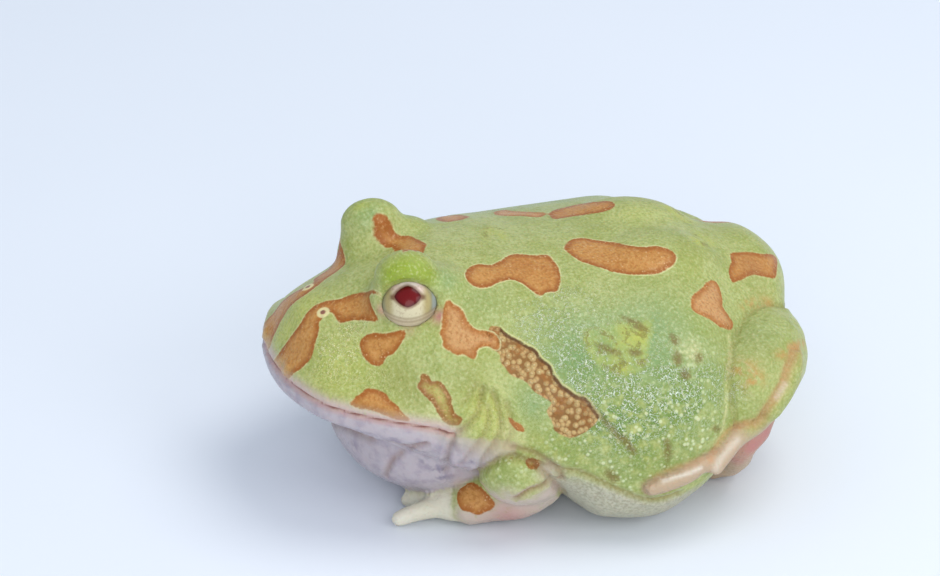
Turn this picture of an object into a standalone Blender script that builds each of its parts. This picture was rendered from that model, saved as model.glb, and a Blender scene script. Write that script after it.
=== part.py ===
"""A horned frog resting on its belly, at life size, as a still figure in separate parts.

The frog faces -Y, its left side is +X and the floor is Z = 0. The trunk is a loft of
cross-sections along Y with rounded masses blended on, parted at the neck and the mouth.
Legs and digits are chains of round beads along smooth paths, blended the same way and
cut clear of what they lie on.
"""

import math

import bmesh
import bpy
from mathutils import Matrix, Vector

MM = 0.001
SIDES = {"left": 1, "right": -1}

# How fine the work is: the space between parts, the blending cells, the length below which
# an edge is merged away after a cut, and the triangles kept
GAP = 0.3 * MM
TRUNK_CELL = 0.6 * MM
LID_CELL = 0.45 * MM
LIMB_CELL = 0.42 * MM
SLIVER = 0.002 * MM
TRUNK_TRIANGLES = 6600
TRUNK_SOFTENING = 8
LID_SOFTENING = 3
LIMB_SOFTENING = 3
RING_POINTS = 40
LOFT_STATIONS = 56
BEAD_SPACING = 0.35
SHARP_EDGE = math.radians(38)

# The eyes, the half width and half height of the opening between their lids, the lids'
# distance from the eye's centre, how much thicker and higher the upper one is, and the
# flared clearing in front of each
EYE_RADIUS = 4.3 * MM
EYE_CENTRE = Vector((9.1, -20.6, 33.0)) * MM
EYE_LOOKS = Vector((0.86, -0.27, 0.43)).normalized()
LID_PLANE = 1.6 * MM
LID_HALF = (4.2 * MM, 3.45 * MM)
LID_LEVEL = 4.45 * MM
LID_THICK = 0.7 * MM
UPPER_LID_EXTRA = 0.4 * MM
LID_FLARE = 1.15
OPENING_DEPTH = 8 * MM

# The nostrils: the middle of a low mound, its half size, the half size of the round pit
# in its outer front, and where the pit's middle lies from the mound's, in millimetres
NOSTRIL = Vector((3.9, -31.8, 29.5))
NOSTRIL_MOUND = 1.65
NOSTRIL_PIT = 0.85
NOSTRIL_LEAN = Vector((0.8, -0.8, 1.3))

# The trunk's two ends, and how far in from each its sections start to close
SNOUT_END = -38.9 * MM
RUMP_END = 39.5 * MM
SNOUT_CLOSING = 6 * MM
RUMP_CLOSING = 6 * MM
SNOUT_ROUNDNESS = 2.3
RUMP_ROUNDNESS = 2.0

# Trunk sections in millimetres: place along Y, half width, top, height where it is
# widest, bottom, and the powers of its upper and lower halves
SECTIONS = (
    (-40, 10.0, 25.8, 20.6, 17.4, 1.7, 2.2),
    (-34, 14.8, 30.2, 20.2, 16.8, 1.6, 2.3),
    (-28, 18.6, 33.2, 19.2, 14.4, 1.6, 2.4),
    (-22, 21.0, 35.5, 18.0, 11.2, 1.9, 2.4),
    (-16, 23.2, 36.7, 16.8, 8.0, 2.1, 2.4),
    (-8, 26.0, 36.5, 15.8, 4.6, 2.15, 2.5),
    (-3, 27.8, 35.9, 15.6, 3.6, 2.1, 2.5),
    (3, 29.6, 35.5, 15.4, 0.0, 2.05, 4.0),
    (10, 31.0, 35.2, 15.2, -0.6, 2.0, 4.0),
    (17, 30.4, 35.3, 15.4, 0.2, 2.0, 2.8),
    (22, 27.6, 34.4, 15.8, 2.8, 1.9, 2.4),
    (26, 22.6, 33.1, 16.4, 4.5, 1.8, 2.2),
    (31, 17.6, 31.6, 17.8, 6.5, 1.8, 2.1),
    (35, 13.2, 31.2, 21.8, 11.6, 1.9, 2.0),
    (40, 9.0, 30.4, 24.8, 19.0, 2.0, 2.0),
)

# Rounded masses blended on to the trunk, in millimetres: centre, then half sizes
MIDDLE_MASSES = (
    ((0, -15.2, 10.6), (18, 14.6, 10.5)),
    ((0, -7, 12), (22, 13, 10)),
)
PAIRED_MASSES = (
    ((7.9, -21.1, 33.0), (5.2, 5.2, 5.2)),
    ((8.5, -20.9, 37.3), (3.7, 4.7, 3.7)),
    ((8.0, -16.2, 34.6), (4.2, 4.6, 2.9)),
    ((19.2, -13.6, 18.0), (5.6, 7.5, 7.0)),
    ((5.2, 16.5, 29.0), (10, 12, 6.8)),
)

# The mouth is a slanted plane through the lips' meeting line at the front and the corners
MOUTH_FRONT = Vector((0, -37, 21.9)) * MM
MOUTH_CORNER = Vector((22.2, -17.6, 18.8)) * MM
# The ridges of the lips, in millimetres: how far above the mouth plane, and half thickness
LIPS = ((1.3, 1.2), (-1.5, 1.3))
LIP_SINK = 0.7
LIP_BEADS = 30

# The neck plane, through the nape and the back of the throat
NAPE = Vector((0, -7, 36)) * MM
THROAT_BACK = Vector((0, -12, 3)) * MM

# Limbs as paths of beads on the left side, each bead x, y, z and radius in millimetres
THIGH = (
    (6, 30.3, 17.6, 7.0),
    (12, 31.2, 18.6, 7.4),
    (18.0, 29.2, 19.6, 6.9),
    (22.6, 24.7, 19.3, 5.8),
    (23.3, 23.2, 16.6, 4.8),
)
SHANK = (
    (22.5, 32.4, 22.1, 1.7),
    (24.0, 31.2, 20.8, 2.1),
    (25.3, 29.2, 18.9, 2.4),
    (26.1, 27.4, 17.4, 2.5),
)
INSTEP = (
    (26.1, 27.0, 16.8, 2.4),
    (26.2, 25.0, 15.0, 2.2),
    (28.1, 21.8, 13.9, 1.6),
    (30.1, 19.4, 12.8, 1.35),
    (31.1, 17.8, 11.4, 1.1),
)
TOES = (
    (
        (23.0, 28.0, 13.9, 2.2), (23.7, 26.5, 11.9, 2.4), (23.5, 24.9, 9.9, 2.3), (20.4, 25.4, 6.0, 2.3),
        (18.8, 25.2, 4.2, 1.8), (17.4, 24.2, 2.5, 1.4), (16.6, 23.4, 1.2, 1.0),
    ),
    (
        (26.8, 22.3, 13.7, 1.5), (28.3, 19.8, 13.4, 1.15), (30.2, 16.8, 12.6, 1.05),
        (30.9, 14.0, 11.3, 1.35), (31.0, 10.6, 10.4, 1.35), (30.9, 8.1, 9.8, 1.15),
    ),
    ((17.6, 25.6, 2.8, 1.8), (16.2, 23.8, 1.8, 1.4), (15.2, 21.8, 1.0, 1.0)),
    ((16.8, 26.6, 2.6, 1.8), (14.8, 25.4, 1.7, 1.4), (13.2, 23.8, 1.0, 1.0)),
)
ARM = (
    (15.4, -7.6, 12.8, 5.9),
    (22.2, -9.2, 11.4, 5.2),
    (20.8, -4.6, 8.2, 3.8),
    (19.2, -7.4, 5.6, 4.1),
    (17.4, -11, 4.5, 3.9),
    (17.2, -14.2, 3.5, 3.1),
)
PALM = ((17.2, -13.6, 3.2, 3.1), (15.4, -17.0, 2.8, 2.3))
FINGERS = (
    ((15.2, -17.6, 2.6, 1.7), (15.0, -21.0, 2.3, 1.45), (14.6, -24.1, 1.3, 1.2)),
    ((14.9, -16.8, 2.1, 1.8), (12.2, -19.4, 1.8, 1.4), (9.7, -21.4, 1.1, 1.05)),
    ((14.6, -15.4, 2.0, 1.7), (11.6, -15.8, 1.5, 1.3), (8.8, -15.6, 1.0, 1.0)),
    ((15.8, -13.6, 1.9, 1.8), (14.2, -11.6, 1.4, 1.4), (12.6, -9.6, 1.0, 1.0)),
)

# Each limb piece: name, main path, digits, triangles kept. A piece is cut clear of the
# torso, of the lower jaw and of the pieces before it.
LIMBS = (
    ("thigh", THIGH, (), 460),
    ("shank", SHANK, (), 420),
    ("foot", INSTEP, TOES, 760),
    ("arm", ARM, (), 480),
    ("hand", PALM, FINGERS, 700),
)
# Parts with the pale skin of the underside
PALE_PARTS = ("lower_jaw", "hand", "foot")


def clear_scene():
    """Remove every object of the startup scene."""
    for obj in list(bpy.data.objects):
        bpy.data.objects.remove(obj)


def finish(name, colour, roughness):
    """A plain non-metallic material."""
    made = bpy.data.materials.new(name)
    made.use_nodes = True
    shader = made.node_tree.nodes["Principled BSDF"]
    shader.inputs["Base Color"].default_value = (*colour, 1)
    shader.inputs["Roughness"].default_value = roughness
    shader.inputs["Metallic"].default_value = 0
    return made


def read_table(rows, along):
    """The values of a table at one place, by cubic pieces that never overshoot the rows."""
    places = [row[0] for row in rows]
    along = min(max(along, places[0]), places[-1])
    i = max(k for k in range(len(rows) - 1) if places[k] <= along)
    step = places[i + 1] - places[i]
    t = (along - places[i]) / step

    def steepness(k, column):
        if k in (0, len(rows) - 1):
            return 0.0
        before = (rows[k][column] - rows[k - 1][column]) / (places[k] - places[k - 1])
        after = (rows[k + 1][column] - rows[k][column]) / (places[k + 1] - places[k])
        return 0.0 if before * after <= 0 else 2 * before * after / (before + after)

    values = []
    for column in range(1, len(rows[0])):
        a, b = rows[i][column], rows[i + 1][column]
        da, db = steepness(i, column) * step, steepness(i + 1, column) * step
        cubic = (2 * t**3 - 3 * t**2 + 1) * a + (t**3 - 2 * t**2 + t) * da
        values.append(cubic + (3 * t**2 - 2 * t**3) * b + (t**3 - t**2) * db)
    return values


def closing(along):
    """How open a trunk section is, from 0 at the very end of the snout or rump to 1."""
    snout = max(0.0, 1 - (along - SNOUT_END) / SNOUT_CLOSING)
    rump = max(0.0, 1 - (RUMP_END - along) / RUMP_CLOSING)
    nose = (1 - snout**SNOUT_ROUNDNESS) ** (1 / SNOUT_ROUNDNESS)
    return nose * (1 - rump**RUMP_ROUNDNESS) ** (1 / RUMP_ROUNDNESS)


def trunk_ring(along):
    """The points of one cross-section of the trunk."""
    width, top, widest, bottom, upper, lower = read_table(SECTIONS, along / MM)
    open_share = closing(along)
    ring = []
    for i in range(RING_POINTS):
        angle = math.tau * i / RING_POINTS
        c, s = math.cos(angle), math.sin(angle)
        power = upper if s >= 0 else lower
        reach = (top - widest) if s >= 0 else (widest - bottom)
        x = width * open_share * math.copysign(abs(c) ** (2 / power), c)
        z = widest + reach * open_share * math.copysign(abs(s) ** (2 / power), s)
        ring.append(Vector((x * MM, along, z * MM)))
    return ring


def add_trunk(mesh):
    """Loft the trunk's sections, closer together towards both ends."""
    rings = []
    for i in range(1, LOFT_STATIONS):
        share = (1 - math.cos(math.pi * i / LOFT_STATIONS)) / 2
        along = SNOUT_END + (RUMP_END - SNOUT_END) * share
        rings.append([mesh.verts.new(point) for point in trunk_ring(along)])
    for ring, after in zip(rings, rings[1:]):
        for i in range(RING_POINTS):
            j = (i + 1) % RING_POINTS
            mesh.faces.new((ring[i], ring[j], after[j], after[i]))
    mesh.faces.new(rings[0][::-1])
    mesh.faces.new(rings[-1])


def add_mass(mesh, centre, radii, turn=None):
    """One rounded mass: an ellipsoid with its centre and half sizes in millimetres."""
    size = Matrix.Diagonal((*(Vector(radii) * MM), 1))
    place = Matrix.Translation(Vector(centre) * MM)
    matrix = place @ (turn.to_4x4() if turn else Matrix.Identity(4)) @ size
    bmesh.ops.create_icosphere(mesh, subdivisions=3, radius=1, matrix=matrix)


def add_pair(mesh, centre, radii):
    """The same mass on both sides of the body."""
    for side in SIDES.values():
        add_mass(mesh, (centre[0] * side, *centre[1:]), radii)


def along_path(points, t):
    """A point of the smooth curve through these points, t from 0 to their count less 1."""
    i = min(int(t), len(points) - 2)
    t -= i
    ends = points[0] * 2 - points[1], points[-1] * 2 - points[-2]
    a, b, c, d = [ends[0], *points, ends[1]][i : i + 4]
    cubic = (a * -1 + b * 3 - c * 3 + d) * t**3 + (a * 2 - b * 5 + c * 4 - d) * t**2
    return (cubic + (c - a) * t + b * 2) / 2


def add_chain(mesh, joints, side=1):
    """Round beads along a smooth path. Each joint is (x, y, z, radius) in millimetres."""
    points = [Vector(joint) for joint in joints]
    for i in range(len(points) - 1):
        reach = (points[i + 1] - points[i]).xyz.length
        thin = min(points[i].w, points[i + 1].w)
        count = max(2, math.ceil(reach / (thin * BEAD_SPACING)))
        for k in range(count + (i == len(points) - 2)):
            bead = along_path(points, i + k / count)
            centre = (bead.x * side, bead.y, bead.z)
            add_mass(mesh, centre, (bead.w,) * 3)


def add_lids(mesh, centre, axis, beads=32):
    """The rims of both lids: beads round an oval that lies on a sphere about the eye."""
    turn = axis.to_track_quat("Z", "Y").to_matrix()
    for i in range(beads):
        angle = math.tau * i / beads
        across = LID_HALF[0] * math.cos(angle)
        extra = UPPER_LID_EXTRA * max(0, math.sin(angle))
        above = (LID_HALF[1] + extra) * math.sin(angle)
        ahead = math.sqrt(LID_LEVEL**2 - across**2 - above**2)
        spot = centre + turn @ Vector((across, above, ahead))
        add_mass(mesh, spot / MM, ((LID_THICK + extra) / MM,) * 3)


def object_from(name, mesh, collection):
    """Close a bmesh into a named object."""
    data = bpy.data.meshes.new(name)
    mesh.to_mesh(data)
    mesh.free()
    obj = bpy.data.objects.new(name, data)
    collection.objects.link(obj)
    return obj


def apply_modifiers(obj):
    """Put the object's evaluated shape in place of its mesh and modifiers."""
    bpy.context.view_layer.update()
    graph = bpy.context.evaluated_depsgraph_get()
    shape = bpy.data.meshes.new_from_object(obj.evaluated_get(graph))
    shape.name = obj.name
    obj.modifiers.clear()
    obj.data = shape


def melt(obj, cell, rounds):
    """Blend overlapping masses into one smooth skin."""
    remesh = obj.modifiers.new("melt", "REMESH")
    remesh.mode = "VOXEL"
    remesh.voxel_size = cell
    soften = obj.modifiers.new("soften", "SMOOTH")
    soften.factor = 0.5
    soften.iterations = rounds
    apply_modifiers(obj)


def thin_out(obj, triangles):
    """Bring a dense skin down to about this many triangles."""
    fewer = obj.modifiers.new("fewer", "DECIMATE")
    fewer.ratio = min(1.0, triangles / (2 * len(obj.data.polygons)))
    apply_modifiers(obj)


def boolean(obj, other, operation):
    """Cut, keep or join with another object, and apply it."""
    made = obj.modifiers.new(operation.lower(), "BOOLEAN")
    made.operation = operation
    made.solver = "EXACT"
    made.object = other
    apply_modifiers(obj)
    keep_largest(obj)


def keep_largest(obj):
    """Merge slivers, then keep only the closed surface with the most volume."""
    mesh = bmesh.new()
    mesh.from_mesh(obj.data)
    bmesh.ops.remove_doubles(mesh, verts=mesh.verts, dist=SLIVER)
    bmesh.ops.triangulate(mesh, faces=mesh.faces)
    bmesh.ops.dissolve_degenerate(mesh, edges=mesh.edges, dist=SLIVER)
    bmesh.ops.triangulate(mesh, faces=mesh.faces)
    unseen = set(mesh.faces)
    surfaces = []
    while unseen:
        seed = unseen.pop()
        surface, front = [seed], [seed]
        while front:
            face = front.pop()
            for edge in face.edges:
                for near in edge.link_faces:
                    if near in unseen:
                        unseen.remove(near)
                        surface.append(near)
                        front.append(near)
        surfaces.append(surface)
    surfaces.sort(key=signed_volume)
    loose = [face for surface in surfaces[:-1] for face in surface]
    bmesh.ops.delete(mesh, geom=loose, context="FACES")
    mesh.to_mesh(obj.data)
    mesh.free()


def signed_volume(faces):
    """Six times the volume that triangles enclose."""
    total = 0.0
    for face in faces:
        a, b, c = (vert.co for vert in face.verts)
        total += a.dot(b.cross(c))
    return total


def boxes_meet(obj, other, room):
    """Whether two objects' bounding boxes come closer than some room along every axis."""
    for axis in range(3):
        reach = [[vert.co[axis] for vert in each.data.vertices] for each in (obj, other)]
        if max(map(min, reach)) - min(map(max, reach)) > room:
            return False
    return True


def grown(obj, by, collection):
    """A helper copy of a solid, larger by a gap all round."""
    copy = bpy.data.objects.new(obj.name + "_grown", obj.data.copy())
    collection.objects.link(copy)
    swell = copy.modifiers.new("swell", "DISPLACE")
    swell.mid_level = 0
    swell.strength = by
    swell.direction = "NORMAL"
    apply_modifiers(copy)
    as_helper(copy)
    return copy


def as_helper(obj):
    """Keep a cutter or guide out of the finished part."""
    obj.hide_render = True
    obj.display_type = "WIRE"


def half_space(name, point, normal, collection, reach=0.2):
    """A big box whose one face lies on a plane, filling the side that the normal points to."""
    mesh = bmesh.new()
    turn = normal.to_track_quat("Z", "Y").to_matrix().to_4x4()
    matrix = Matrix.Translation(point) @ turn @ Matrix.Translation((0, 0, reach / 2))
    bmesh.ops.create_cube(mesh, size=reach, matrix=matrix)
    box = object_from(name, mesh, collection)
    as_helper(box)
    return box


def eye_frame(side):
    """The eye's centre and the way it looks, on one side."""
    centre = Vector((EYE_CENTRE.x * side, *EYE_CENTRE.yz))
    axis = Vector((EYE_LOOKS.x * side, *EYE_LOOKS.yz))
    return centre, axis


def eye_opening(side, collection):
    """A flared plug that clears the skin from in front of the eye."""
    centre, axis = eye_frame(side)
    mesh = bmesh.new()
    turn = axis.to_track_quat("Z", "Y").to_matrix().to_4x4()
    oval = Matrix.Diagonal((*LID_HALF, 1, 1))
    place = Matrix.Translation(centre + axis * (LID_PLANE + OPENING_DEPTH / 2))
    bmesh.ops.create_cone(
        mesh,
        cap_ends=True,
        segments=32,
        radius1=1,
        radius2=LID_FLARE,
        depth=OPENING_DEPTH,
        matrix=place @ turn @ oval,
    )
    plug = object_from("opening", mesh, collection)
    as_helper(plug)
    return plug


def add_lips(mesh, rise, thick):
    """A ridge along the mouth, so far above its plane, from one corner round to the other."""
    slope = (MOUTH_CORNER.z - MOUTH_FRONT.z) / (MOUTH_CORNER.y - MOUTH_FRONT.y)
    for i in range(LIP_BEADS):
        along = MOUTH_CORNER.y + (SNOUT_END - MOUTH_CORNER.y) * i / LIP_BEADS
        width = read_table(SECTIONS, along / MM)[0] * closing(along)
        height = (MOUTH_FRONT.z + slope * (along - MOUTH_FRONT.y)) / MM + rise
        spot = Vector((width, (along - MOUTH_CORNER.y) / MM))
        spot -= spot.normalized() * thick * LIP_SINK
        add_pair(mesh, (spot.x, spot.y + MOUTH_CORNER.y / MM, height), (thick,) * 3)


def build_trunk(collection):
    """Head and torso as one blended form with the eyes' openings, before it is parted."""
    mesh = bmesh.new()
    add_trunk(mesh)
    for centre, radii in MIDDLE_MASSES:
        add_mass(mesh, centre, radii)
    for centre, radii in PAIRED_MASSES:
        add_pair(mesh, centre, radii)
    add_pair(mesh, NOSTRIL, (NOSTRIL_MOUND,) * 3)
    for rise, thick in LIPS:
        add_lips(mesh, rise, thick)
    trunk = object_from("trunk", mesh, collection)
    melt(trunk, TRUNK_CELL, TRUNK_SOFTENING)
    for side in SIDES.values():
        boolean(trunk, eye_opening(side, collection), "DIFFERENCE")
    mesh = bmesh.new()
    mesh.from_mesh(trunk.data)
    for side in SIDES.values():
        centre, axis = eye_frame(side)
        add_lids(mesh, centre, axis)
    mesh.to_mesh(trunk.data)
    mesh.free()
    melt(trunk, LID_CELL, LID_SOFTENING)
    thin_out(trunk, TRUNK_TRIANGLES)
    return trunk


def part_trunk(trunk, frog, helpers):
    """Cut the trunk at the neck and the mouth into torso, head and lower jaw."""
    neck = (NAPE - THROAT_BACK).cross(Vector((1, 0, 0))).normalized()
    middle = (NAPE + THROAT_BACK) / 2
    mouth_run = Vector((0, *(MOUTH_CORNER - MOUTH_FRONT).yz))
    mouth = Vector((1, 0, 0)).cross(mouth_run).normalized()
    before_neck = (middle - neck * GAP / 2, neck)
    removed = {
        "torso": [(middle + neck * GAP / 2, -neck)],
        "head": [before_neck, (MOUTH_FRONT + mouth * GAP / 2, -mouth)],
        "lower_jaw": [before_neck, (MOUTH_FRONT - mouth * GAP / 2, mouth)],
    }
    pieces = {}
    for name, planes in removed.items():
        piece = bpy.data.objects.new(name, trunk.data.copy())
        frog.objects.link(piece)
        for number, (point, normal) in enumerate(planes):
            box = half_space(f"{name}_cut_{number}", point, normal, helpers)
            boolean(piece, box, "DIFFERENCE")
        pieces[name] = piece
    return pieces


def build_eye(name, side, collection):
    """One eyeball."""
    mesh = bmesh.new()
    centre, axis = eye_frame(side)
    turn = axis.to_track_quat("Z", "Y").to_matrix().to_4x4()
    matrix = Matrix.Translation(centre) @ turn
    bmesh.ops.create_uvsphere(
        mesh, u_segments=18, v_segments=11, radius=EYE_RADIUS, matrix=matrix
    )
    return object_from(name, mesh, collection)


def sink_nostril(head, side, helpers):
    """Cut the round pit of one nostril."""
    mesh = bmesh.new()
    spot = NOSTRIL + NOSTRIL_LEAN
    add_mass(mesh, (spot.x * side, spot.y, spot.z), (NOSTRIL_PIT,) * 3)
    pit = object_from("nostril", mesh, helpers)
    as_helper(pit)
    boolean(head, pit, "DIFFERENCE")


def build_limb(name, path, digits, side, collection, triangles):
    """A limb, or the end of one with its digits, melted into one form."""
    mesh = bmesh.new()
    for joints in (path, *digits):
        add_chain(mesh, joints, side)
    limb = object_from(name, mesh, collection)
    melt(limb, LIMB_CELL, LIMB_SOFTENING)
    thin_out(limb, triangles)
    return limb


def centre_on_floor(objects):
    """Move the whole frog so that the middle of its outline is over the origin."""
    corners = [obj.matrix_world @ vert.co for obj in objects for vert in obj.data.vertices]
    middle = Vector((0, 0, 0))
    for axis in (0, 1):
        reach = [corner[axis] for corner in corners]
        middle[axis] = (min(reach) + max(reach)) / 2
    for obj in objects:
        obj.data.transform(Matrix.Translation(-middle))


def dress(objects):
    """Give each part its material and shading."""
    skin = finish("skin", (0.47, 0.58, 0.24), 0.45)
    pale = finish("pale_skin", (0.75, 0.68, 0.68), 0.45)
    eye_gloss = finish("eye", (0.62, 0.5, 0.42), 0.08)
    for obj in objects:
        if obj.name.startswith("eye"):
            obj.data.materials.append(eye_gloss)
        elif obj.name.startswith(PALE_PARTS):
            obj.data.materials.append(pale)
        else:
            obj.data.materials.append(skin)
        obj.data.shade_smooth()
        obj.data.set_sharp_from_angle(angle=SHARP_EDGE)


def main():
    """Build the frog."""
    clear_scene()
    frog = bpy.data.collections.new("horned_frog")
    helpers = bpy.data.collections.new("helpers")
    for collection in (frog, helpers):
        bpy.context.scene.collection.children.link(collection)

    floor = half_space("floor", Vector((0, 0, 0)), Vector((0, 0, -1)), helpers)
    trunk = build_trunk(helpers)
    boolean(trunk, floor, "DIFFERENCE")
    parts = part_trunk(trunk, frog, helpers)

    for side_name, side in SIDES.items():
        eye = build_eye(f"eye_{side_name}", side, frog)
        boolean(parts["head"], grown(eye, GAP, helpers), "DIFFERENCE")
        sink_nostril(parts["head"], side, helpers)
        parts[eye.name] = eye
        neighbours = [parts["torso"], parts["lower_jaw"]]
        for name, path, digits, triangles in LIMBS:
            limb = build_limb(f"{name}_{side_name}", path, digits, side, frog, triangles)
            boolean(limb, floor, "DIFFERENCE")
            for neighbour in neighbours:
                if boxes_meet(limb, neighbour, GAP):
                    boolean(limb, grown(neighbour, GAP, helpers), "DIFFERENCE")
            neighbours.append(limb)
            parts[limb.name] = limb

    centre_on_floor(parts.values())
    dress(parts.values())
    for helper in list(helpers.objects):
        bpy.data.objects.remove(helper)


main()
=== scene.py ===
"""The looks of a horned frog at rest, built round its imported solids.

One skin closes the seams between the solids of the flesh, folds and lips are worked into
it, and its coat is laid on from outlines of the markings. Each eye is a ball of its own.
Lengths are in millimetres until a mesh is written, which is in metres.
"""

import logging
import math
from dataclasses import dataclass
from enum import Enum
from typing import Iterable, Optional, Union

import bmesh
import bpy
import numpy as np
from mathutils import Matrix, Vector
from mathutils.bvhtree import BVHTree


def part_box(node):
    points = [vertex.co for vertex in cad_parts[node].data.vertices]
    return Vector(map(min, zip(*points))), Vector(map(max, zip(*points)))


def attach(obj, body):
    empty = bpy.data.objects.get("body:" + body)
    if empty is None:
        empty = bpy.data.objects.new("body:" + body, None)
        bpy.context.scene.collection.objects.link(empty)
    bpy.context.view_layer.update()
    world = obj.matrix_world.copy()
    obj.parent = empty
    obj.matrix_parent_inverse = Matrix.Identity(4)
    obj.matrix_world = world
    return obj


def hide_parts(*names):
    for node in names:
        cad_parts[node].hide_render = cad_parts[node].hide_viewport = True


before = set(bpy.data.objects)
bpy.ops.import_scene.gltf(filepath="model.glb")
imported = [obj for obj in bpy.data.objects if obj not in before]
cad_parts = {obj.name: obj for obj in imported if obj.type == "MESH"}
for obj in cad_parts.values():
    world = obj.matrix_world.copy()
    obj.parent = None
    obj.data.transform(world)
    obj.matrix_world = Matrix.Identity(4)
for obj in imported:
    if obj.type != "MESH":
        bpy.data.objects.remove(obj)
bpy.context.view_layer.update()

logging.basicConfig(level=logging.INFO, format="%(message)s")
LOG = logging.getLogger("frog")

MM = 0.001
SIDES = ("left", "right")
OTHER_SIDE = np.array((-1.0, 1.0, 1.0))
Pixels = tuple[tuple[float, float], ...]
Number = Union[int, float, "Value"]
Colour = Union[tuple[int, int, int], "Value"]


class Tone(Enum):
    """The colour a marking leans to, from plain orange to olive brown."""

    ORANGE = 0.0
    TAN = 0.5
    OLIVE_BROWN = 1.0


class Sides(Enum):
    """Which flanks a marking or fold is on."""

    HERE = "only where the outline lies"
    BOTH = "where the outline lies, and mirrored"


def paint(red: int, green: int, blue: int) -> tuple[float, float, float, float]:
    """A colour named by its screen values, as the linear one that a shader takes.

    Args:
        red, green, blue: screen values from 0 to 255.

    Returns:
        The linear colour, with full alpha.
    """
    linear = []
    for screen in (red, green, blue):
        share = screen / 255
        linear.append(share / 12.92 if share <= 0.04045 else ((share + 0.055) / 1.055) ** 2.4)
    return (*linear, 1.0)


def curve_through(places: Iterable, steps: int, closed: bool) -> np.ndarray:
    """A smooth line through a few places.

    Args:
        places: the places, in two or three dimensions.
        steps: how many short pieces each stretch is cut into.
        closed: whether the line comes back to its start.

    Returns:
        The points of the line, one row each.
    """
    knots = np.array([tuple(place) for place in places], float)
    count = len(knots)
    stretches = count if closed else count - 1
    line = []
    for i in range(stretches):
        if closed:
            a, b, c, d = (knots[(i + k) % count] for k in (-1, 0, 1, 2))
        else:
            a, b, c, d = (knots[min(max(i + k, 0), count - 1)] for k in (-1, 0, 1, 2))
        for step in range(steps):
            t = step / steps
            line.append(
                0.5 * (2 * b + (c - a) * t + (2 * a - 5 * b + 4 * c - d) * t**2
                       + (3 * b - a - 3 * c + d) * t**3)
            )
    if not closed:
        line.append(knots[-1])
    return np.array(line)


def distance_to_line(points: np.ndarray, line: np.ndarray, closed: bool) -> np.ndarray:
    """How far each point is from a line of short pieces.

    Args:
        points: one row each.
        line: the line's own points, in as many dimensions.
        closed: whether the line comes back to its start.

    Returns:
        One distance for each point.
    """
    nearest = np.full(len(points), np.inf)
    ends = np.roll(line, -1, axis=0) if closed else line[1:]
    starts = line if closed else line[:-1]
    for start, end in zip(starts, ends):
        along = end - start
        length = float(along @ along) or 1e-12
        share = np.clip((points - start) @ along / length, 0, 1)
        offset = points - start - share[:, None] * along
        nearest = np.minimum(nearest, np.einsum("ij,ij->i", offset, offset))
    return np.sqrt(nearest)


def inside_outline(points: np.ndarray, outline: np.ndarray) -> np.ndarray:
    """Which points of a plane lie inside a closed outline in it.

    Args:
        points: two coordinates in each row.
        outline: the outline's points, in order.

    Returns:
        True for each point inside.
    """
    inside = np.zeros(len(points), bool)
    x, y = points[:, 0], points[:, 1]
    for (x0, y0), (x1, y1) in zip(outline, np.roll(outline, -1, axis=0)):
        if y0 == y1:
            continue
        crosses = (y0 > y) != (y1 > y)
        inside ^= crosses & (x < (x1 - x0) * (y - y0) / (y1 - y0) + x0)
    return inside


def bell(values: np.ndarray, width: float, power: int = 2) -> np.ndarray:
    """A smooth hill that is 1 where the values are 0.

    Args:
        values: how far each point is from the middle.
        width: where the hill has fallen to about a third.
        power: an even number, larger for a flatter top.

    Returns:
        The hill's height for each value.
    """
    return np.exp(-((values / width) ** power))


def piece_from(work: bmesh.types.BMesh, name: str) -> bpy.types.Object:
    """A smoothly shaded piece made from finished work, which is freed.

    Args:
        work: the mesh that was worked on.
        name: the piece's name.

    Returns:
        The piece, linked to the scene.
    """
    mesh = bpy.data.meshes.new(name)
    work.to_mesh(mesh)
    work.free()
    mesh.shade_smooth()
    piece = bpy.data.objects.new(name, mesh)
    bpy.context.scene.collection.objects.link(piece)
    return piece


def box_mm(node: str) -> tuple[np.ndarray, np.ndarray]:
    """The lowest and the highest corner of a solid's box, in millimetres."""
    low, high = (np.array(corner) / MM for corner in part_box(node))
    return low, high


def eyeball(side: str) -> tuple[np.ndarray, float]:
    """The middle and radius of the left or right eyeball, in millimetres."""
    low, high = box_mm(f"eye_{side}")
    return (low + high) / 2, (high - low)[2] / 2


def rise(values: np.ndarray, low: float, high: float) -> np.ndarray:
    """A smooth step from 0 at low to 1 at high.

    Args:
        values: what is compared with the two limits.
        low, high: where the step starts and where it ends.

    Returns:
        The step's height for each value.
    """
    t = np.clip((values - low) / (high - low), 0, 1)
    return t * t * (3 - 2 * t)


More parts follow.
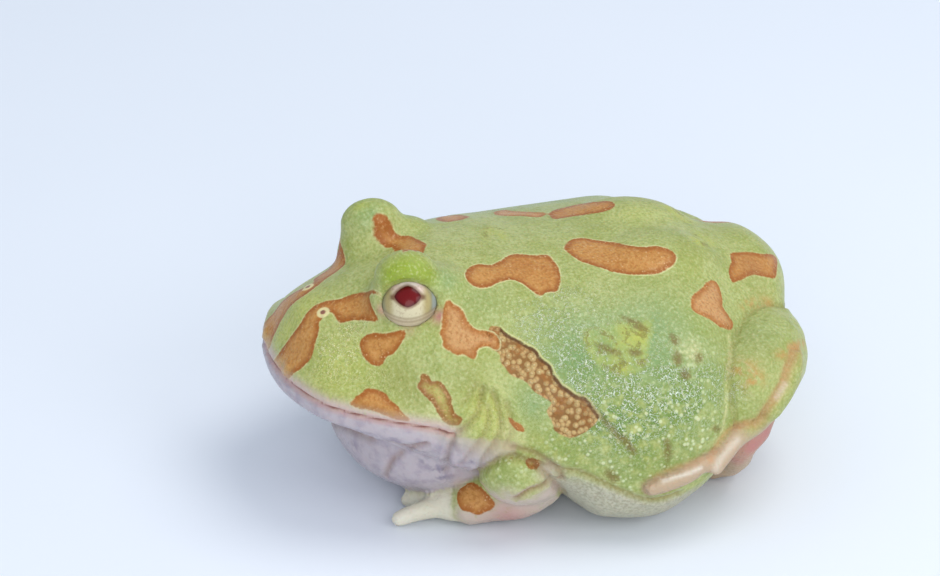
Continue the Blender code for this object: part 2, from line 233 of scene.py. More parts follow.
@dataclass(frozen=True)
class PhotoView:
    """The camera that fits the photo, and how places in its picture map to the frog."""

    azimuth: float = 72.0
    elevation: float = 28.0
    distance: float = 500.0
    scale: float = 6.7
    origin_at: tuple[float, float] = (526.9, 450.0)
    picture: tuple[int, int] = (940, 576)
    sensor: float = 36.0
    near: float = 10.0

    def axes(self) -> tuple[Vector, Vector, Vector]:
        """The directions of the picture.

        Returns:
            Its right, its up, and the way from the frog back to the camera.
        """
        turn, lift = math.radians(self.azimuth), math.radians(self.elevation)
        back = Vector((
            math.sin(turn) * math.cos(lift),
            -math.cos(turn) * math.cos(lift),
            math.sin(lift),
        ))
        right = Vector((math.cos(turn), math.sin(turn), 0))
        return right, back.cross(right), back

    def on_target(self, pixel: tuple[float, float]) -> Vector:
        """The point of the plane through the target that shows at a place in the picture.

        Args:
            pixel: the place in the picture.

        Returns:
            The point in millimetres.
        """
        right, up, _ = self.axes()
        across = (pixel[0] - self.origin_at[0]) / self.scale
        above = (self.origin_at[1] - pixel[1]) / self.scale
        return right * across + up * above

    def place(self) -> Vector:
        """Where the camera stands."""
        middle = (self.picture[0] / 2, self.picture[1] / 2)
        return self.on_target(middle) + self.axes()[2] * self.distance

    def ray(self, pixel: tuple[float, float]) -> tuple[Vector, Vector]:
        """The camera's place and the way it looks through one place in the picture."""
        start = self.place()
        return start, (self.on_target(pixel) - start).normalized()

    def pixels(self, points: np.ndarray) -> np.ndarray:
        """Where points show in the picture.

        Args:
            points: one row each, in millimetres.

        Returns:
            Two coordinates in each row.
        """
        right, up, back = (np.array(axis) for axis in self.axes())
        offset = points - np.array(self.place())
        shrink = self.distance / -(offset @ back)
        middle = np.array(self.picture) / 2
        across = middle[0] + (offset @ right) * shrink * self.scale
        above = middle[1] - (offset @ up) * shrink * self.scale
        return np.stack((across, above), axis=1)

    def build(self) -> bpy.types.Object:
        """The camera itself, made the scene's own.

        Returns:
            The camera object.
        """
        data = bpy.data.cameras.new("photo_view")
        data.sensor_width = self.sensor
        data.lens = self.scale * self.sensor * self.distance / self.picture[0]
        data.clip_start = self.near * MM
        data.dof.use_dof = False
        camera = bpy.data.objects.new("photo_view", data)
        bpy.context.scene.collection.objects.link(camera)
        camera.location = self.place() * MM
        camera.rotation_euler = self.axes()[2].to_track_quat("Z", "Y").to_euler()
        bpy.context.scene.camera = camera
        return camera


class Value:
    """A number that varies over a surface, for arithmetic in a material."""

    def __init__(self, bench: "Bench", socket: bpy.types.NodeSocket) -> None:
        """Keeps the socket that gives the number out, and the bench it belongs to."""
        self.bench = bench
        self.socket = socket

    def math(self, operation: str, first: Number, second: Number = 0.0) -> "Value":
        """The result of one Math node."""
        return self.bench.node("ShaderNodeMath", {"operation": operation}, {0: first, 1: second})

    def __add__(self, other: Number) -> "Value":
        """self + other."""
        return self.math("ADD", self, other)

    def __sub__(self, other: Number) -> "Value":
        """self - other."""
        return self.math("SUBTRACT", self, other)

    def __rsub__(self, other: Number) -> "Value":
        """other - self."""
        return self.math("SUBTRACT", other, self)

    def __mul__(self, other: Number) -> "Value":
        """self * other."""
        return self.math("MULTIPLY", self, other)

    def __truediv__(self, other: Number) -> "Value":
        """self / other."""
        return self.math("DIVIDE", self, other)

    def __pow__(self, other: Number) -> "Value":
        """self to the power of other."""
        return self.math("POWER", self, other)

    def __abs__(self) -> "Value":
        """The size of self, without its sign."""
        return self.math("ABSOLUTE", self)

    def rise(self, low: float, high: float) -> "Value":
        """A smooth step from 0 at low to 1 at high."""
        inputs = {"Value": self, "From Min": low, "From Max": high}
        return self.bench.node("ShaderNodeMapRange", {"interpolation_type": "SMOOTHSTEP"}, inputs)

    def fall(self, low: float, high: float) -> "Value":
        """A smooth step from 1 at low to 0 at high."""
        return 1 - self.rise(low, high)


class Bench:
    """One material on the workbench: its nodes, its shader and the ways to feed them."""

    def __init__(self, name: str) -> None:
        """Starts a material with a single Principled shader.

        Args:
            name: the material's name.
        """
        self.material = bpy.data.materials.new(name)
        self.material.use_nodes = True
        self.tree = self.material.node_tree
        self.shader = self.tree.nodes["Principled BSDF"]

    def feed(self, socket: bpy.types.NodeSocket, value: object) -> None:
        """Links a value to a socket, or sets the socket to a constant.

        Args:
            socket: the input that is fed.
            value: a varying value, or the constant.
        """
        if isinstance(value, Value):
            self.tree.links.new(value.socket, socket)
        else:
            socket.default_value = value

    def node(
        self,
        kind: str,
        settings: Optional[dict] = None,
        sockets: Optional[dict] = None,
        output: Union[int, str] = 0,
    ) -> Value:
        """Makes any node, with its settings first and then its sockets.

        Args:
            kind: the node's type.
            settings: its own properties.
            sockets: constants or values for its inputs, by name or number.
            output: the output that is given back.

        Returns:
            That output as a value.
        """
        made = self.tree.nodes.new(kind)
        for name, setting in (settings or {}).items():
            setattr(made, name, setting)
        for name, value in (sockets or {}).items():
            self.feed(made.inputs[name], value)
        return Value(self, made.outputs[output])

    def worn(self, name: str) -> Value:
        """A number kept on the mesh itself."""
        return self.node("ShaderNodeAttribute", {"attribute_name": name}, output="Fac")

    def place(self) -> Value:
        """The place on the piece."""
        return self.node("ShaderNodeTexCoord", output="Object")

    def noise(self, place: Value, size: float, detail: float = 3.0) -> Value:
        """Soft clouds from 0 to 1, of a given size in millimetres."""
        inputs = {"Vector": place, "Scale": 1 / (size * MM), "Detail": detail}
        return self.node("ShaderNodeTexNoise", sockets=inputs)

    def cells(self, place: Value, size: float) -> Value:
        """Distances from the middles of cells, of a given size in millimetres."""
        inputs = {"Vector": place, "Scale": 1 / (size * MM)}
        return self.node("ShaderNodeTexVoronoi", sockets=inputs, output="Distance")

    def blend(self, first: Colour, second: Colour, share: Number) -> Value:
        """Two colours mixed.

        Args:
            first: the one below, by its screen values or as a colour that varies.
            second: the one on top.
            share: how much of the second there is.

        Returns:
            The colour between them.
        """
        first, second = (
            colour if isinstance(colour, Value) else paint(*colour) for colour in (first, second)
        )
        return self.node(
            "ShaderNodeMix",
            {"data_type": "RGBA"},
            {0: share, 6: first, 7: second},
            2,
        )

    def layered(self, coat: Colour, layers: Iterable[tuple[Colour, Number]]) -> Colour:
        """A coat with more colours laid on it.

        Args:
            coat: what is there already.
            layers: each colour, from the lowest up, with how much of it covers the coat.

        Returns:
            The new coat.
        """
        for colour, share in layers:
            coat = self.blend(coat, colour, share)
        return coat

    def finish(self, **sockets: object) -> bpy.types.Material:
        """Feeds the shader's sockets.

        Args:
            sockets: a value for each, by its name with underscores for spaces.

        Returns:
            The finished material.
        """
        for name, value in sockets.items():
            self.feed(self.shader.inputs[name.replace("_", " ")], value)
        return self.material


class Surface:
    """A piece's mesh read as arrays, to find places on it, move its points and mark it."""

    def __init__(self, piece: bpy.types.Object) -> None:
        """Reads the piece."""
        self.piece = piece
        self.read()

    def read(self) -> None:
        """Takes points, normals, edges and a search tree from the mesh."""
        mesh = self.piece.data
        mesh.update()
        count = len(mesh.vertices)
        points = np.empty(count * 3, np.float32)
        mesh.vertices.foreach_get("co", points)
        self.points = points.reshape(-1, 3).astype(float) / MM
        normals = np.empty(count * 3, np.float32)
        mesh.vertex_normals.foreach_get("vector", normals)
        self.normals = normals.reshape(-1, 3).astype(float)
        edges = np.empty(len(mesh.edges) * 2, np.int32)
        mesh.edges.foreach_get("vertices", edges)
        self.edges = edges.reshape(-1, 2)
        corners = [tuple(face.vertices) for face in mesh.polygons]
        self.tree = BVHTree.FromPolygons(self.points.tolist(), corners)

    def write(self) -> None:
        """Puts the moved points back, and reads the mesh again."""
        self.piece.data.vertices.foreach_set("co", (self.points * MM).astype(np.float32).ravel())
        self.read()

    def seen(self, view: PhotoView, pixel: tuple[float, float]) -> Optional[tuple]:
        """What shows at a place in the photo.

        Args:
            view: the photo's camera.
            pixel: the place in the picture.

        Returns:
            The point and its normal as arrays, or None beside the piece.
        """
        start, way = view.ray(pixel)
        point, normal, _, _ = self.tree.ray_cast(start, way)
        return None if point is None else (np.array(point), np.array(normal))

    def nearest(self, place: Iterable) -> tuple[np.ndarray, np.ndarray]:
        """The surface point nearest to a place, and its normal."""
        point, normal, _, _ = self.tree.find_nearest(Vector(place))
        return np.array(point), np.array(normal)

    def averaged(self, values: np.ndarray) -> np.ndarray:
        """The mean over the points that each point shares an edge with.

        Args:
            values: one row for each point.

        Returns:
            The means, in the same form.
        """
        a, b = self.edges[:, 0], self.edges[:, 1]
        count = np.bincount(self.edges.ravel(), minlength=len(self.points))
        columns = values.reshape(len(self.points), -1)
        total = np.empty_like(columns)
        for i in range(columns.shape[1]):
            total[:, i] = np.bincount(a, columns[b, i], len(self.points))
            total[:, i] += np.bincount(b, columns[a, i], len(self.points))
        return (total / np.maximum(count, 1)[:, None]).reshape(values.shape)

    def apart(self, place: np.ndarray) -> np.ndarray:
        """Each point's distance from one place."""
        return np.linalg.norm(self.points - place, axis=1)

    def smooth(self, rounds: int, weight: np.ndarray, outward: float = -0.52) -> None:
        """Evens out the surface, by default without shrinking it.

        Args:
            rounds: how many times each point moves in and out again.
            weight: how far each point may move, from 0 to 1.
            outward: the share of the way back out, below zero.
        """
        inward = 0.5
        for _ in range(rounds):
            for pull in (inward, outward):
                offset = self.averaged(self.points) - self.points
                self.points += pull * weight[:, None] * offset

    def push(self, amount: np.ndarray) -> None:
        """Moves each point along its normal, by millimetres, and writes the mesh."""
        self.points += amount[:, None] * self.normals
        self.write()

    def store(self, name: str, values: np.ndarray) -> None:
        """Keeps one number for each point on the mesh, for a material to read."""
        kept = self.piece.data.attributes.new(name, "FLOAT", "POINT")
        kept.data.foreach_set("value", values.astype(np.float32))


@dataclass(frozen=True)
class Crease:
    """A fold along a line: depth, half width and raised lips in millimetres, and how dark the shade
    painted along it is.
    """

    name: str
    line: Pixels
    depth: float
    width: float
    lips: float = 0.0
    shade: float = 1.0


@dataclass(frozen=True)
class Seam:
    """A fold where two parts of the body press together, in millimetres, and how dark the shade painted
    along it is.
    """

    name: str
    parts: tuple[str, str]
    depth: float
    width: float
    lips: float = 0.0
    shade: float = 1.0


@dataclass(frozen=True)
class Blotch:
    """A marking with a closed outline in the photo, and how much of a pale halo it has."""

    name: str
    outline: Pixels
    tone: Tone = Tone.ORANGE
    sides: Sides = Sides.BOTH
    halo: float = 1.0


@dataclass(frozen=True)
class Wash:
    """A soft patch of tint round a place in the photo, or on the body in millimetres."""

    tint: str
    at: Union[tuple[float, float], tuple[float, float, float]]
    reach: float
    strength: float = 1.0
    sides: Sides = Sides.BOTH


def washes(tint: str, rows: tuple) -> tuple[Wash, ...]:
    """Washes of one tint.

    Args:
        tint: its name.
        rows: for each wash its place, its reach, and its strength and sides where they differ.

    Returns:
        The washes, in the same order.
    """
    return tuple(Wash(tint, *row) for row in rows)


@dataclass(frozen=True)
class Stroke:
    """A thin line of tint through places in the photo, on both sides, in millimetres."""

    tint: str
    line: Pixels
    width: float
    strength: float = 1.0


# Folds between parts: depth, half width, lips and how dark the painted shade along them is
SEAMS = (
    Seam("mouth", ("head", "lower_jaw"), 0.55, 0.34, 0.16),
    Seam("throat_on_arm", ("lower_jaw", "arm"), 0.7, 0.5, 0.1),
    Seam("throat_on_hand", ("lower_jaw", "hand"), 0.5, 0.45),
    Seam("arm_on_flank", ("arm", "torso"), 0.45, 0.45, 0.1),
    Seam("thigh_on_flank", ("thigh", "torso"), 0.26, 0.3, 0.14, 0.4),
    Seam("shank_on_thigh", ("shank", "thigh"), 0.32, 0.3, 0.12, 0.2),
    Seam("foot_on_flank", ("foot", "torso"), 0.45, 0.36, 0.05, 0.8),
    Seam("foot_on_thigh", ("foot", "thigh"), 0.35, 0.34, 0.08, 0.3),
)

# Folds along lines of the photo: depth, half width, lips and how dark the painted shade along them is
CREASES = (
    Crease("jaw_edge", (
        (303, 414), (317, 421), (333, 425), (346, 428), (358, 433), (371, 438), (386, 441),
        (401, 445), (417, 445), (425, 444),
    ), 0.3, 0.5, 0.1),
    Crease("throat", (
        (427, 444), (413, 448), (401, 453), (393, 459), (389, 467), (386, 476), (386, 486),
    ), 0.28, 0.45, 0.12),
    Crease("flank_fold", (
        (541, 463), (567, 470), (580, 472), (604, 483), (628, 494), (644, 499), (660, 499),
        (679, 493),
    ), 0.3, 0.5, 0.12),
    Crease("neck_a", (
        (483, 388), (480, 400), (478, 412), (467, 425), (456, 434), (450, 446), (447, 458),
        (447, 470),
    ), 0.42, 0.42, 0.24, 0.75),
    Crease("neck_b", (
        (492, 392), (497, 404), (500, 417), (501, 429), (495, 443), (485, 457), (473, 470),
    ), 0.46, 0.42, 0.24, 0.7),
    Crease("neck_c", ((487, 406), (488, 422), (482, 438), (470, 453), (461, 464)), 0.34, 0.4, 0.2, 0.6),
    Crease("neck_d", ((506, 402), (510, 418), (511, 432), (505, 445)), 0.26, 0.4, 0.14, 0.6),
    Crease("neck_e", ((476, 384), (469, 394), (462, 404)), 0.16, 0.4, 0.1, 0.4),
    Crease("band_fold", ((580, 397), (596, 412), (612, 429), (620, 440)), 0.18, 0.4, 0.08),
    Crease("forearm_fold", ((516, 498), (530, 490), (545, 483), (562, 477)), 0.4, 0.4, 0.16, 1.6),
    Crease("shoulder_fold", (
        (512, 446), (524, 449), (538, 454), (552, 464), (562, 474),
    ), 0.3, 0.4, 0.14, 1.2),
)

# Outlines of the orange markings, traced in the photo
BLOTCHES = (
    Blotch("between_eyes", (
        (372, 220), (376, 214), (383, 214), (389, 220), (394, 229), (402, 236), (410, 236),
        (419, 240), (425, 243), (425, 249), (418, 251), (410, 250), (402, 251), (394, 251),
        (386, 248), (379, 242), (373, 231),
    ), sides=Sides.HERE, halo=0.35),
    Blotch("snout", (
        (271, 369), (282, 349), (298, 327), (304, 317), (314, 306), (327, 301), (339, 299),
        (352, 295), (365, 292), (376, 291), (382, 296), (386, 306), (386, 314), (378, 320),
        (368, 321), (354, 320), (341, 323), (337, 320), (334, 315), (330, 312), (323, 317),
        (319, 323), (319, 331), (315, 344), (311, 357), (299, 370), (287, 383), (278, 377),
    ), halo=0.7),
    Blotch("below_eye", (
        (360, 343), (365, 336), (373, 333), (386, 333), (397, 331), (405, 330), (405, 336),
        (401, 344), (393, 354), (387, 357), (381, 365), (373, 365), (365, 359), (361, 351),
    ), halo=0.55),
    Blotch("upper_lip", (
        (349, 404), (354, 399), (362, 392), (368, 388), (378, 390), (386, 394), (390, 400),
        (397, 405), (403, 413), (409, 418), (409, 421), (398, 420), (386, 416), (373, 411),
        (358, 408),
    ), halo=0.15),
    Blotch("cheek", (
        (421, 374), (429, 375), (432, 381), (441, 382), (448, 392), (452, 398), (452, 405),
        (456, 414), (462, 418), (460, 424), (451, 425), (443, 421), (438, 413), (433, 405),
        (427, 398), (421, 392), (417, 387), (420, 381),
    ), Tone.OLIVE_BROWN, halo=0.3),
    Blotch("behind_eye", (
        (446, 301), (454, 304), (461, 308), (464, 313), (468, 322), (473, 327), (479, 330),
        (487, 331), (494, 333), (500, 342), (498, 350), (490, 347), (483, 347), (478, 350),
        (476, 357), (473, 359), (465, 355), (457, 355), (450, 351), (443, 347), (443, 341),
        (440, 334), (441, 329),
    ), Tone.TAN, halo=0.9),
    Blotch("back_front", (
        (465, 275), (467, 270), (472, 266), (480, 264), (489, 265), (496, 263), (503, 259),
        (510, 255), (518, 254), (530, 255), (539, 255), (548, 255), (553, 260), (558, 267),
        (560, 275), (560, 284), (557, 291), (551, 292), (545, 293), (541, 296), (536, 294),
        (531, 290), (524, 285), (517, 281), (511, 280), (504, 281), (497, 283), (492, 286),
        (486, 288), (479, 288), (472, 285), (467, 280),
    ), sides=Sides.HERE),
    Blotch("back_rear", (
        (564, 248), (571, 240), (581, 238), (596, 240), (612, 242), (626, 245), (641, 247),
        (656, 246), (668, 249), (676, 256), (674, 264), (666, 270), (656, 274), (641, 275),
        (625, 274), (610, 271), (596, 266), (580, 261), (569, 253),
    ), sides=Sides.HERE),
    Blotch("far_back_rear", (
        (549, 214), (553, 219), (563, 218), (576, 216), (590, 214), (603, 212), (613, 208),
        (614, 203), (606, 201), (594, 202), (580, 204), (566, 207), (555, 210),
    ), sides=Sides.HERE, halo=0.0),
    Blotch("far_back_front", (
        (435, 219), (446, 216), (460, 215), (470, 217), (460, 220), (446, 222),
    ), sides=Sides.HERE, halo=0.0),
    Blotch("far_back_middle", (
        (494, 212), (503, 210), (512, 211), (530, 212), (546, 213), (540, 217), (520, 216),
        (505, 216), (496, 215),
    ), Tone.TAN, Sides.HERE, halo=0.0),
    Blotch("rump", (
        (731, 253), (747, 252), (763, 254), (776, 257), (777, 269), (775, 278), (765, 277),
        (752, 275), (741, 280), (732, 282), (729, 272), (731, 262),
    ), halo=0.3),
    Blotch("over_thigh", (
        (706, 282), (714, 281), (719, 286), (722, 298), (723, 307), (728, 315), (733, 323),
        (730, 330), (720, 327), (711, 320), (700, 315), (692, 309), (691, 299), (695, 293),
        (702, 288),
    ), Tone.TAN, halo=0.25),
    Blotch("arm", (
        (468, 481), (476, 484), (483, 489), (490, 496), (495, 503), (493, 508), (486, 512),
        (479, 515), (469, 512), (462, 510), (458, 503), (457, 496), (460, 489),
    ), halo=0.1),
    Blotch("upper_arm", (
        (527, 459), (537, 459), (541, 463), (538, 468), (532, 470), (527, 467),
    ), Tone.OLIVE_BROWN, halo=0.0),
    Blotch("neck", (
        (508, 418), (514, 421), (520, 424), (525, 430), (520, 432), (513, 427),
    ), Tone.TAN, halo=0.15),
    Blotch("shoulder", (
        (505, 449), (510, 447), (515, 449), (514, 454), (509, 457), (505, 454),
    ), Tone.OLIVE_BROWN, halo=0.0),
)

# The beaded band behind the shoulder, and its dark upper edge
BAND = Blotch("granular_band", (
    (490, 327), (496, 326), (501, 328), (506, 334), (511, 339), (518, 341), (527, 347),
    (535, 351), (540, 359), (549, 366), (553, 375), (560, 385), (569, 392), (576, 397),
    (585, 399), (588, 404), (594, 413), (598, 417), (595, 424), (588, 430), (581, 434),
    (571, 438), (563, 435), (555, 431), (553, 423), (548, 414), (548, 409), (552, 403),
    (546, 399), (538, 394), (532, 389), (528, 383), (521, 379), (511, 375), (506, 369),
    (501, 362), (500, 355), (496, 351), (490, 347), (486, 338),
))
BAND_EDGE = (
    (500, 329), (506, 335), (517, 341), (527, 347), (535, 351), (540, 359), (549, 366),
    (553, 375), (560, 385), (569, 392), (576, 397), (586, 400), (592, 409), (598, 417),
)

# The photo's line from the elbow to the rear, below which the belly is pale
BELLY_EDGE = (
    (430, 486), (500, 470), (541, 463), (567, 470), (580, 473), (604, 484), (628, 494),
    (644, 499), (660, 499), (679, 493), (700, 484), (720, 474), (760, 462), (820, 452),
)

# Olive patches of the flank, the back and the rear
OLIVES = (
    Blotch("flank_olive", (
        (583, 330), (600, 326), (622, 320), (648, 319), (650, 335), (645, 350), (648, 362),
        (638, 372), (620, 375), (605, 368), (593, 358), (585, 345),
    )),
    Blotch("back_ring", (
        (482, 231), (488, 226), (498, 226), (506, 231), (508, 237), (502, 240), (496, 235),
        (490, 236), (486, 240), (481, 237),
    ), sides=Sides.HERE),
    Blotch("rear_dot", ((690, 236), (696, 232), (704, 236), (714, 242), (710, 248), (697, 244))),
)

# Small brown spots and bars
SPOTS = (
    Blotch("olive_bar_a", ((621, 317), (630, 318), (640, 323), (649, 330), (645, 333), (633, 327))),
    Blotch("olive_bar_b", ((595, 343), (603, 345), (613, 349), (621, 352), (617, 355), (602, 350))),
    Blotch("olive_bar_c", ((630, 349), (637, 349), (641, 353), (636, 356), (630, 354))),
    Blotch("flank_a", ((620, 434), (627, 438), (633, 445), (637, 453), (632, 455), (625, 447))),
    Blotch("flank_b", ((664, 441), (669, 441), (672, 450), (670, 466), (665, 469), (665, 456))),
    Blotch("flank_c", ((604, 472), (611, 470), (618, 475), (619, 480), (612, 481))),
    Blotch("flank_d", ((713, 427), (719, 426), (721, 430), (716, 433))),
    Blotch("rear_a", ((670, 336), (677, 336), (679, 343), (673, 346))),
    Blotch("rear_b", ((674, 353), (679, 352), (681, 363), (676, 365))),
    Blotch("rear_c", ((680, 371), (688, 370), (689, 378), (682, 380))),
    Blotch("rear_d", ((696, 352), (702, 353), (702, 361), (696, 362))),
)

# Thin lines of tint, some of them painted highlights: half width and strength
STROKES = (
    Stroke("cream", ((729, 336), (729, 360), (727, 385), (726, 410), (722, 432)), 0.34, 0.9),
    Stroke("tan", ((734, 425), (730, 429), (723, 436), (717, 444), (713, 452), (710, 460)), 0.5, 0.8),
    Stroke("tan", ((655, 477), (667, 471), (678, 467), (692, 463), (703, 459)), 0.45, 0.6),
    # painted highlight along the long toe
    Stroke("white", ((663, 481), (672, 478), (683, 475), (692, 472), (701, 468)), 0.3, 0.75),
    Stroke("white", ((716, 470), (720, 460), (727, 451), (738, 440)), 0.5, 0.5),
    # painted highlights on the shank's strip
    Stroke("white", ((776, 398), (780, 392), (785, 384)), 0.4, 0.5),
    Stroke("rust", ((804, 342), (795, 346), (786, 351), (778, 357)), 0.7, 1.0),
    Stroke("rust", ((744, 306), (756, 303), (768, 303)), 0.9, 0.9),
)

# Soft tints: place, reach, strength and sides
WASHES = (
    *washes("mint", (
        ((655, 330), 6.5, 0.8), ((600, 345), 5.5, 0.5), ((570, 330), 5.0, 0.35), ((560, 365), 4.0, 0.5),
        ((590, 380), 3.5, 0.4), ((650, 375), 4.0, 0.4), ((530, 405), 2.6, 0.7), ((445, 278), 2.0, 0.7),
        ((700, 385), 5.0, 0.35), ((366, 213), 2.4, 0.7, Sides.HERE), ((760, 340), 4.0, 0.35),
        ((480, 300), 4.0, 0.3),
    )),
    *washes("sun", (
        ((345, 355), 5.0, 0.4), ((330, 375), 4.0, 0.25), ((300, 300), 3.0, 0.6), ((285, 335), 2.0, 0.8),
        ((495, 425), 3.0, 0.8), ((480, 405), 2.5, 0.5), ((640, 215), 4.0, 0.4, Sides.HERE),
        ((700, 240), 2.0, 0.5), ((360, 205), 1.2, 0.8, Sides.HERE), ((620, 425), 4.0, 0.4),
        ((560, 450), 3.0, 0.5),
    )),
    *washes("brow", (
        ((410, 268), 2.6, 1.0), ((392, 276), 1.8, 0.9), ((430, 276), 1.8, 0.7),
    )),
    *washes("pink", (
        ((381, 310), 0.9, 0.7), ((439, 316), 1.2, 0.9), ((409, 330), 1.0, 0.35), ((752, 447), 2.0, 1.0),
        ((768, 431), 1.8, 0.9), ((735, 460), 1.8, 0.7), ((452, 318), 1.4, 0.6), ((510, 518), 3.0, 0.7),
        ((12, 33, 8), 7.0, 0.8),
    )),
    *washes("green", (
        ((781, 388), 2.4), ((772, 398), 2.4), ((762, 412), 2.2), ((750, 424), 1.8, 0.7),
    )),
    *washes("rust", (
        ((750, 374), 2.0, 0.8), ((740, 366), 1.3, 0.6), ((757, 382), 1.2, 0.7),
    )),
    *washes("dun", (
        ((400, 378), 3.2, 0.7), ((418, 400), 2.4, 0.6), ((762, 350), 4.0, 0.6), ((760, 292), 2.6, 0.6),
        ((690, 250), 3.0, 0.3), ((752, 266), 2.4, 0.9), ((468, 375), 2.6, 0.5),
    )),
    *washes("cream", (
        ((690, 352), 1.9, 0.7), ((440, 410), 1.4, 0.4), ((506, 431), 1.4, 0.8), ((520, 440), 1.4, 0.6),
    )),
    *washes("bare", (
        ((545, 497), 2.4), ((525, 508), 3.0, 0.9), ((505, 512), 2.4, 0.9), ((560, 484), 2.0, 0.9),
        ((548, 470), 1.8, 0.8), ((508, 497), 1.8, 0.8), ((462, 516), 2.0, 0.9), ((482, 518), 2.0, 0.9),
        ((460, 484), 1.3, 0.8), ((540, 508), 2.2, 0.9),
    )),
    *washes("white", (
        ((402, 519), 1.8, 0.6),
    )),
    # painted highlights: glints on the snout and cheeks
    *washes("glint", (
        ((340, 345), 3.5, 1.0), ((330, 365), 3.0, 0.7), ((355, 325), 2.0, 0.8), ((375, 375), 3.0, 0.5),
        ((560, 300), 5.0, 0.3), ((500, 425), 4.0, 0.4), ((470, 260), 6.0, 0.25),
        ((620, 300), 6.0, 0.25),
    )),
    # painted highlights along worm-like lines of the flank, which are also raised in the relief
    *washes("worm_ridges_and_glints", (
        ((590, 375), 6.0, 1.0), ((640, 395), 6.0, 1.0), ((690, 390), 5.0, 0.8), ((730, 380), 3.0, 0.6),
        ((540, 325), 4.0, 0.6), ((570, 300), 4.0, 0.35), ((620, 410), 5.0, 0.7),
    )),
    *washes("dots", (
        ((600, 430), 6.0, 0.9), ((640, 445), 6.0, 1.0), ((690, 430), 6.0, 1.0), ((650, 470), 5.0, 0.9),
        ((560, 450), 4.0, 0.8), ((700, 360), 5.0, 0.6), ((500, 470), 4.0, 0.8), ((430, 360), 4.0, 0.3),
        ((770, 330), 4.0, 0.3),
    )),
    *washes("smudge", (
        ((438, 472), 1.2, 0.9), ((445, 480), 0.9, 0.8), ((425, 460), 1.0, 0.5), ((395, 440), 1.0, 0.5),
        ((355, 447), 0.8, 0.4), ((470, 462), 0.7, 0.9), ((412, 447), 1.2, 0.4), ((455, 445), 1.0, 0.4),
    )),
    *washes("nostril", (
        ((323, 312), 1.0),
    )),
)


